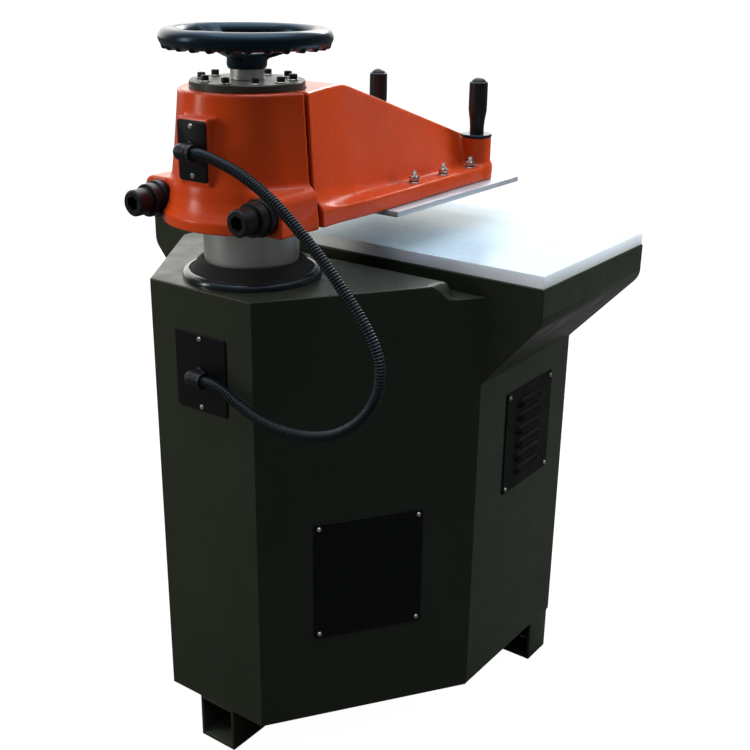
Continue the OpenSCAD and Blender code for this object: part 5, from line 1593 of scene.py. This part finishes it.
@dataclass
class Plates:
    """Connector plates with their elbows, the cover plate, the vent and all the small screws."""

    plate_r: float = 0.006
    screw_r: float = 0.0045
    # A screw's head and the recess in it, in millimetres
    screw: tuple[Pair, ...] = ((0.0, 0.0), (4.5, 0.0), (4.5, 0.7), (4.1, 1.7), (3.4, 2.5), (2.7, 3.0),
                               (2.4, 3.0), (2.1, 1.1), (0.0, 1.1))
    elbow_r: float = 0.012
    cuff_r: float = 0.014
    cuff_l: float = 0.007
    hexagon_r: float = 0.0125
    mouth_r: float = 0.0091
    mouth_l: float = 0.009
    cover_size: Point = (0.202, 0.228, 0.003)
    screw_inset: float = 0.009
    vent_t: float = 0.0025
    hoods: int = 6
    hood_pitch: float = 0.027
    # How far a hood stands out, half its length and its height
    hood_size: Point = (0.0105, 0.046, 0.015)
    hood_wall: float = 0.002

    def screws(self, node: str, name: str, at: list[Matrix], body: str) -> None:
        """Round-headed socket screws at several places, standing for one node."""
        bench = Bench()
        for i, place in enumerate(at):
            bench.lathe([mm(*point) for point in self.screw], 30, place @ Matrix.Rotation(i * 0.9, 4, "Z"))
        bench.piece(name, ZINC, body, node, smooth=35.0)

    def elbow(self, node: str, name: str, body: str) -> None:
        """Moulded elbow, out of its plate and round into the conduit's cuff."""
        low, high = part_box(node)
        y, z = high.y - self.cuff_r, (low.z + high.z) / 2
        corner = (high.x - self.cuff_r, y, z)
        form = Field(node, 0.001)
        out, along, across = form.y - low.y, form.x - low.x, form.x - corner[0]
        round_x = np.hypot(form.y - y, form.z - z)
        shape = join(form.rod(corner, (corner[0], low.y, z), self.elbow_r),
                     form.rod(corner, (low.x + 0.002, y, z), self.elbow_r), 0.004)
        cuff = meet(round_x - self.cuff_r, np.maximum(-along, along - self.cuff_l), 0.0012)
        ring = meet(round_x - self.cuff_r + 0.0008, np.abs(along - 0.0125) - 0.0015, 0.0008)
        shape = join(join(shape, cuff, 0.001), ring, 0.0008)
        slanted = [np.abs(0.5 * across + sign * 0.866 * (form.z - z)) for sign in (1, -1)]
        hexagon = np.maximum(np.abs(across), np.maximum(*slanted)) - self.hexagon_r
        shape = join(shape, meet(hexagon, out - 0.005, 0.001), 0.001)
        mouth = np.maximum(round_x - self.mouth_r, along - self.mouth_l)
        shape = np.maximum(np.maximum(np.maximum(shape, -out), -along), -mouth)
        form.bench(shape).piece(name, MOULDED_BLACK, body, node, smooth=60.0)

    def connectors(self) -> None:
        """Both black plates, their screws and elbows."""
        for where, body in (("head", "arm"), ("base", "base")):
            low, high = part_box(f"{where}_connector_plate")
            centre = (low + high) / 2
            outline = round_rect(high.x - low.x, high.z - low.z, self.plate_r)
            bench = Bench().prism(outline, 0.0, high.y - low.y, Axis.BACK.at(centre.x, low.y, centre.z))
            bench.round_edges(0.0007, 2).piece(
                f"{where}_plate", BLACK_SHEET, body, f"{where}_connector_plate")
            face_y = high.y
            low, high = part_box(f"{where}_connector_screws")
            places = [Axis.BACK.at((low.x + high.x) / 2, face_y, z)
                      for z in (low.z + self.screw_r, high.z - self.screw_r)]
            self.screws(f"{where}_connector_screws", f"{where}_plate_screws", places, body)
            self.elbow(f"{where}_elbow", f"{where}_swivel_elbow", body)

    def cover(self, rear_face_half_w: float) -> None:
        """Cover plate on the diagonal face, with its four screws."""
        low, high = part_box("rear_housing")
        face = Vector((low.y - high.y, high.x - rear_face_half_w, 0.0)).normalized()
        turn = Matrix((Vector((-face.y, face.x, 0.0)), Vector((0, 0, 1)), face)).transposed().to_4x4()
        at = Matrix.Translation((-(high.x + rear_face_half_w) / 2, (low.y + high.y) / 2,
                                 middle("rear_cover_plate").z)) @ turn
        w, h, t = self.cover_size
        bench = Bench().prism(round_rect(w, h, 0.003), 0.0, t, at).round_edges(0.0008, 2)
        # the plate wears the olive paint's darker copy, which paints shade into it
        bench.piece("cover_plate", OLIVE_SHADED, "base", "rear_cover_plate")
        places = [at @ Matrix.Translation((x * (w / 2 - self.screw_inset), z * (h / 2 - self.screw_inset), t))
                  for x in (-1, 1) for z in (-1, 1)]
        self.screws("rear_cover_screws", "cover_plate_screws", places, "base")

    def vent(self) -> None:
        """Pressed vent plate with its hoods, open along their lower edges."""
        low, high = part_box("louvre_vent")
        centre, half = (low + high) / 2, (high - low) / 2
        form = Field("louvre_vent", 0.001)
        out = high.x - form.x
        outline = meet(np.abs(form.y - centre.y) - half.y, np.abs(form.z - centre.z) - half.z, 0.003)
        shape = meet(meet(out - self.vent_t, -out, 0.0003), outline, 0.0008)
        for i in range(self.hoods):
            z = centre.z + (i - (self.hoods - 1) / 2) * self.hood_pitch - 0.004
            hood, hollow = (self.hood(form, out, centre.y, z, *(size - wall for size in self.hood_size))
                            for wall in (0.0, self.hood_wall))
            shape = join(shape, np.maximum(hood, z - form.z), 0.0012)
            shape = np.maximum(shape, -np.maximum(hollow, z - self.hood_wall - form.z))
        # the vent wears the olive paint's darker copy, which paints shade into it
        form.bench(shape, 1).piece("vent_plate", OLIVE_SHADED, "base", "louvre_vent", smooth=60.0)
        inset = self.screw_inset
        places = [Axis.LEFT.at(high.x - self.vent_t, y, z)
                  for y in (low.y + inset, high.y - inset) for z in (low.z + inset, high.z - inset)]
        self.screws("louvre_screws", "vent_screws", places, "base")

    @staticmethod
    def hood(form: Field, out: np.ndarray, y: float, z: float, depth: float, half_l: float,
             height: float) -> np.ndarray:
        """A long rounded blister on the vent plate.

        Args:
            form: the grid
            out: the grid's distance out from the cabinet
            y: middle of the blister
            z: its lower edge
            depth: how far it stands out
            half_l: half its length
            height: its height

        Returns:
            distances to the blister
        """
        across = np.maximum(np.abs(form.y - y) - (half_l - height), 0)
        scaled = np.sqrt((across / height) ** 2 + ((form.z - z) / height) ** 2 + ((out - 0.001) / depth) ** 2)
        return (scaled - 1) * min(depth, height) * 0.8

    def build(self) -> None:
        """Plates, vent, elbows and screws."""
        self.connectors()
        self.cover(Cabinet.rear_face_half_w)
        self.vent()


@dataclass
class Controls:
    """Panel on the front with its lamp, switch, buttons and knob, and the mains gland."""

    edge: float = 0.0007
    panel_edge: float = 0.0006

    def build(self) -> None:
        """Rounded copies of the panel's solids, each in its own finish."""
        copied("control_panel", self.panel_edge).piece("front_panel", BLACK_SHEET, "base", "control_panel")
        for node, name, finish, body in (("power_lamp", "lamp", LAMP_LENS, "base"),
                                         ("mains_gland", "cable_gland", MOULDED_BLACK, "base"),
                                         ("main_switch", "rotary_switch", MOULDED_BLACK, "switch"),
                                         ("stop_button", "stop_mushroom", RED_KNOB, "stop"),
                                         ("motor_button", "starter_cap", GREEN_KNOB, "starter"),
                                         ("depth_knob", "depth_dial", MOULDED_BLACK, "knob")):
            copied(node, self.edge).piece(name, finish, body, node)


@dataclass
class Internals:
    """Solids inside the cabinet and the head, whose shapes stay as they are."""

    finishes: dict[str, Finish] = field(default_factory=lambda: {
        "hydraulic_cylinder": GROUND_STEEL, "guide_bush": BRONZE, "return_spring": SPRING_STEEL,
        "oil_tank": TANK_GREY, "pump_motor": TANK_GREY, "gear_pump": ALUMINIUM, "valve_block": ALUMINIUM,
        "piston": GROUND_STEEL, "height_nut": BRONZE, "thrust_bearing": GROUND_STEEL,
        "swivel_sleeve": SLEEVE_IRON, "height_spindle": GROUND_STEEL})

    def build(self) -> None:
        """Gives each solid its finish."""
        for node, finish in self.finishes.items():
            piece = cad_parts[node]
            piece.data.materials.clear()
            piece.data.materials.append(finish.material())
            LOG.info("%s: finished in %s", node, finish.name)


def main() -> None:
    """Builds the studio and then every sub-assembly."""
    logging.basicConfig(level=logging.INFO, format="%(name)s: %(message)s")
    for assembly in (Studio(), Conduit(), Cabinet(), ColumnFoot(), Head(), Arm(), HeadFittings(), Wheel(),
                     Platen(), Handles(), Plates(), Controls(), Internals()):
        assembly.build()
        LOG.info("%s done", type(assembly).__name__)


if __name__ == "__main__":
    main()
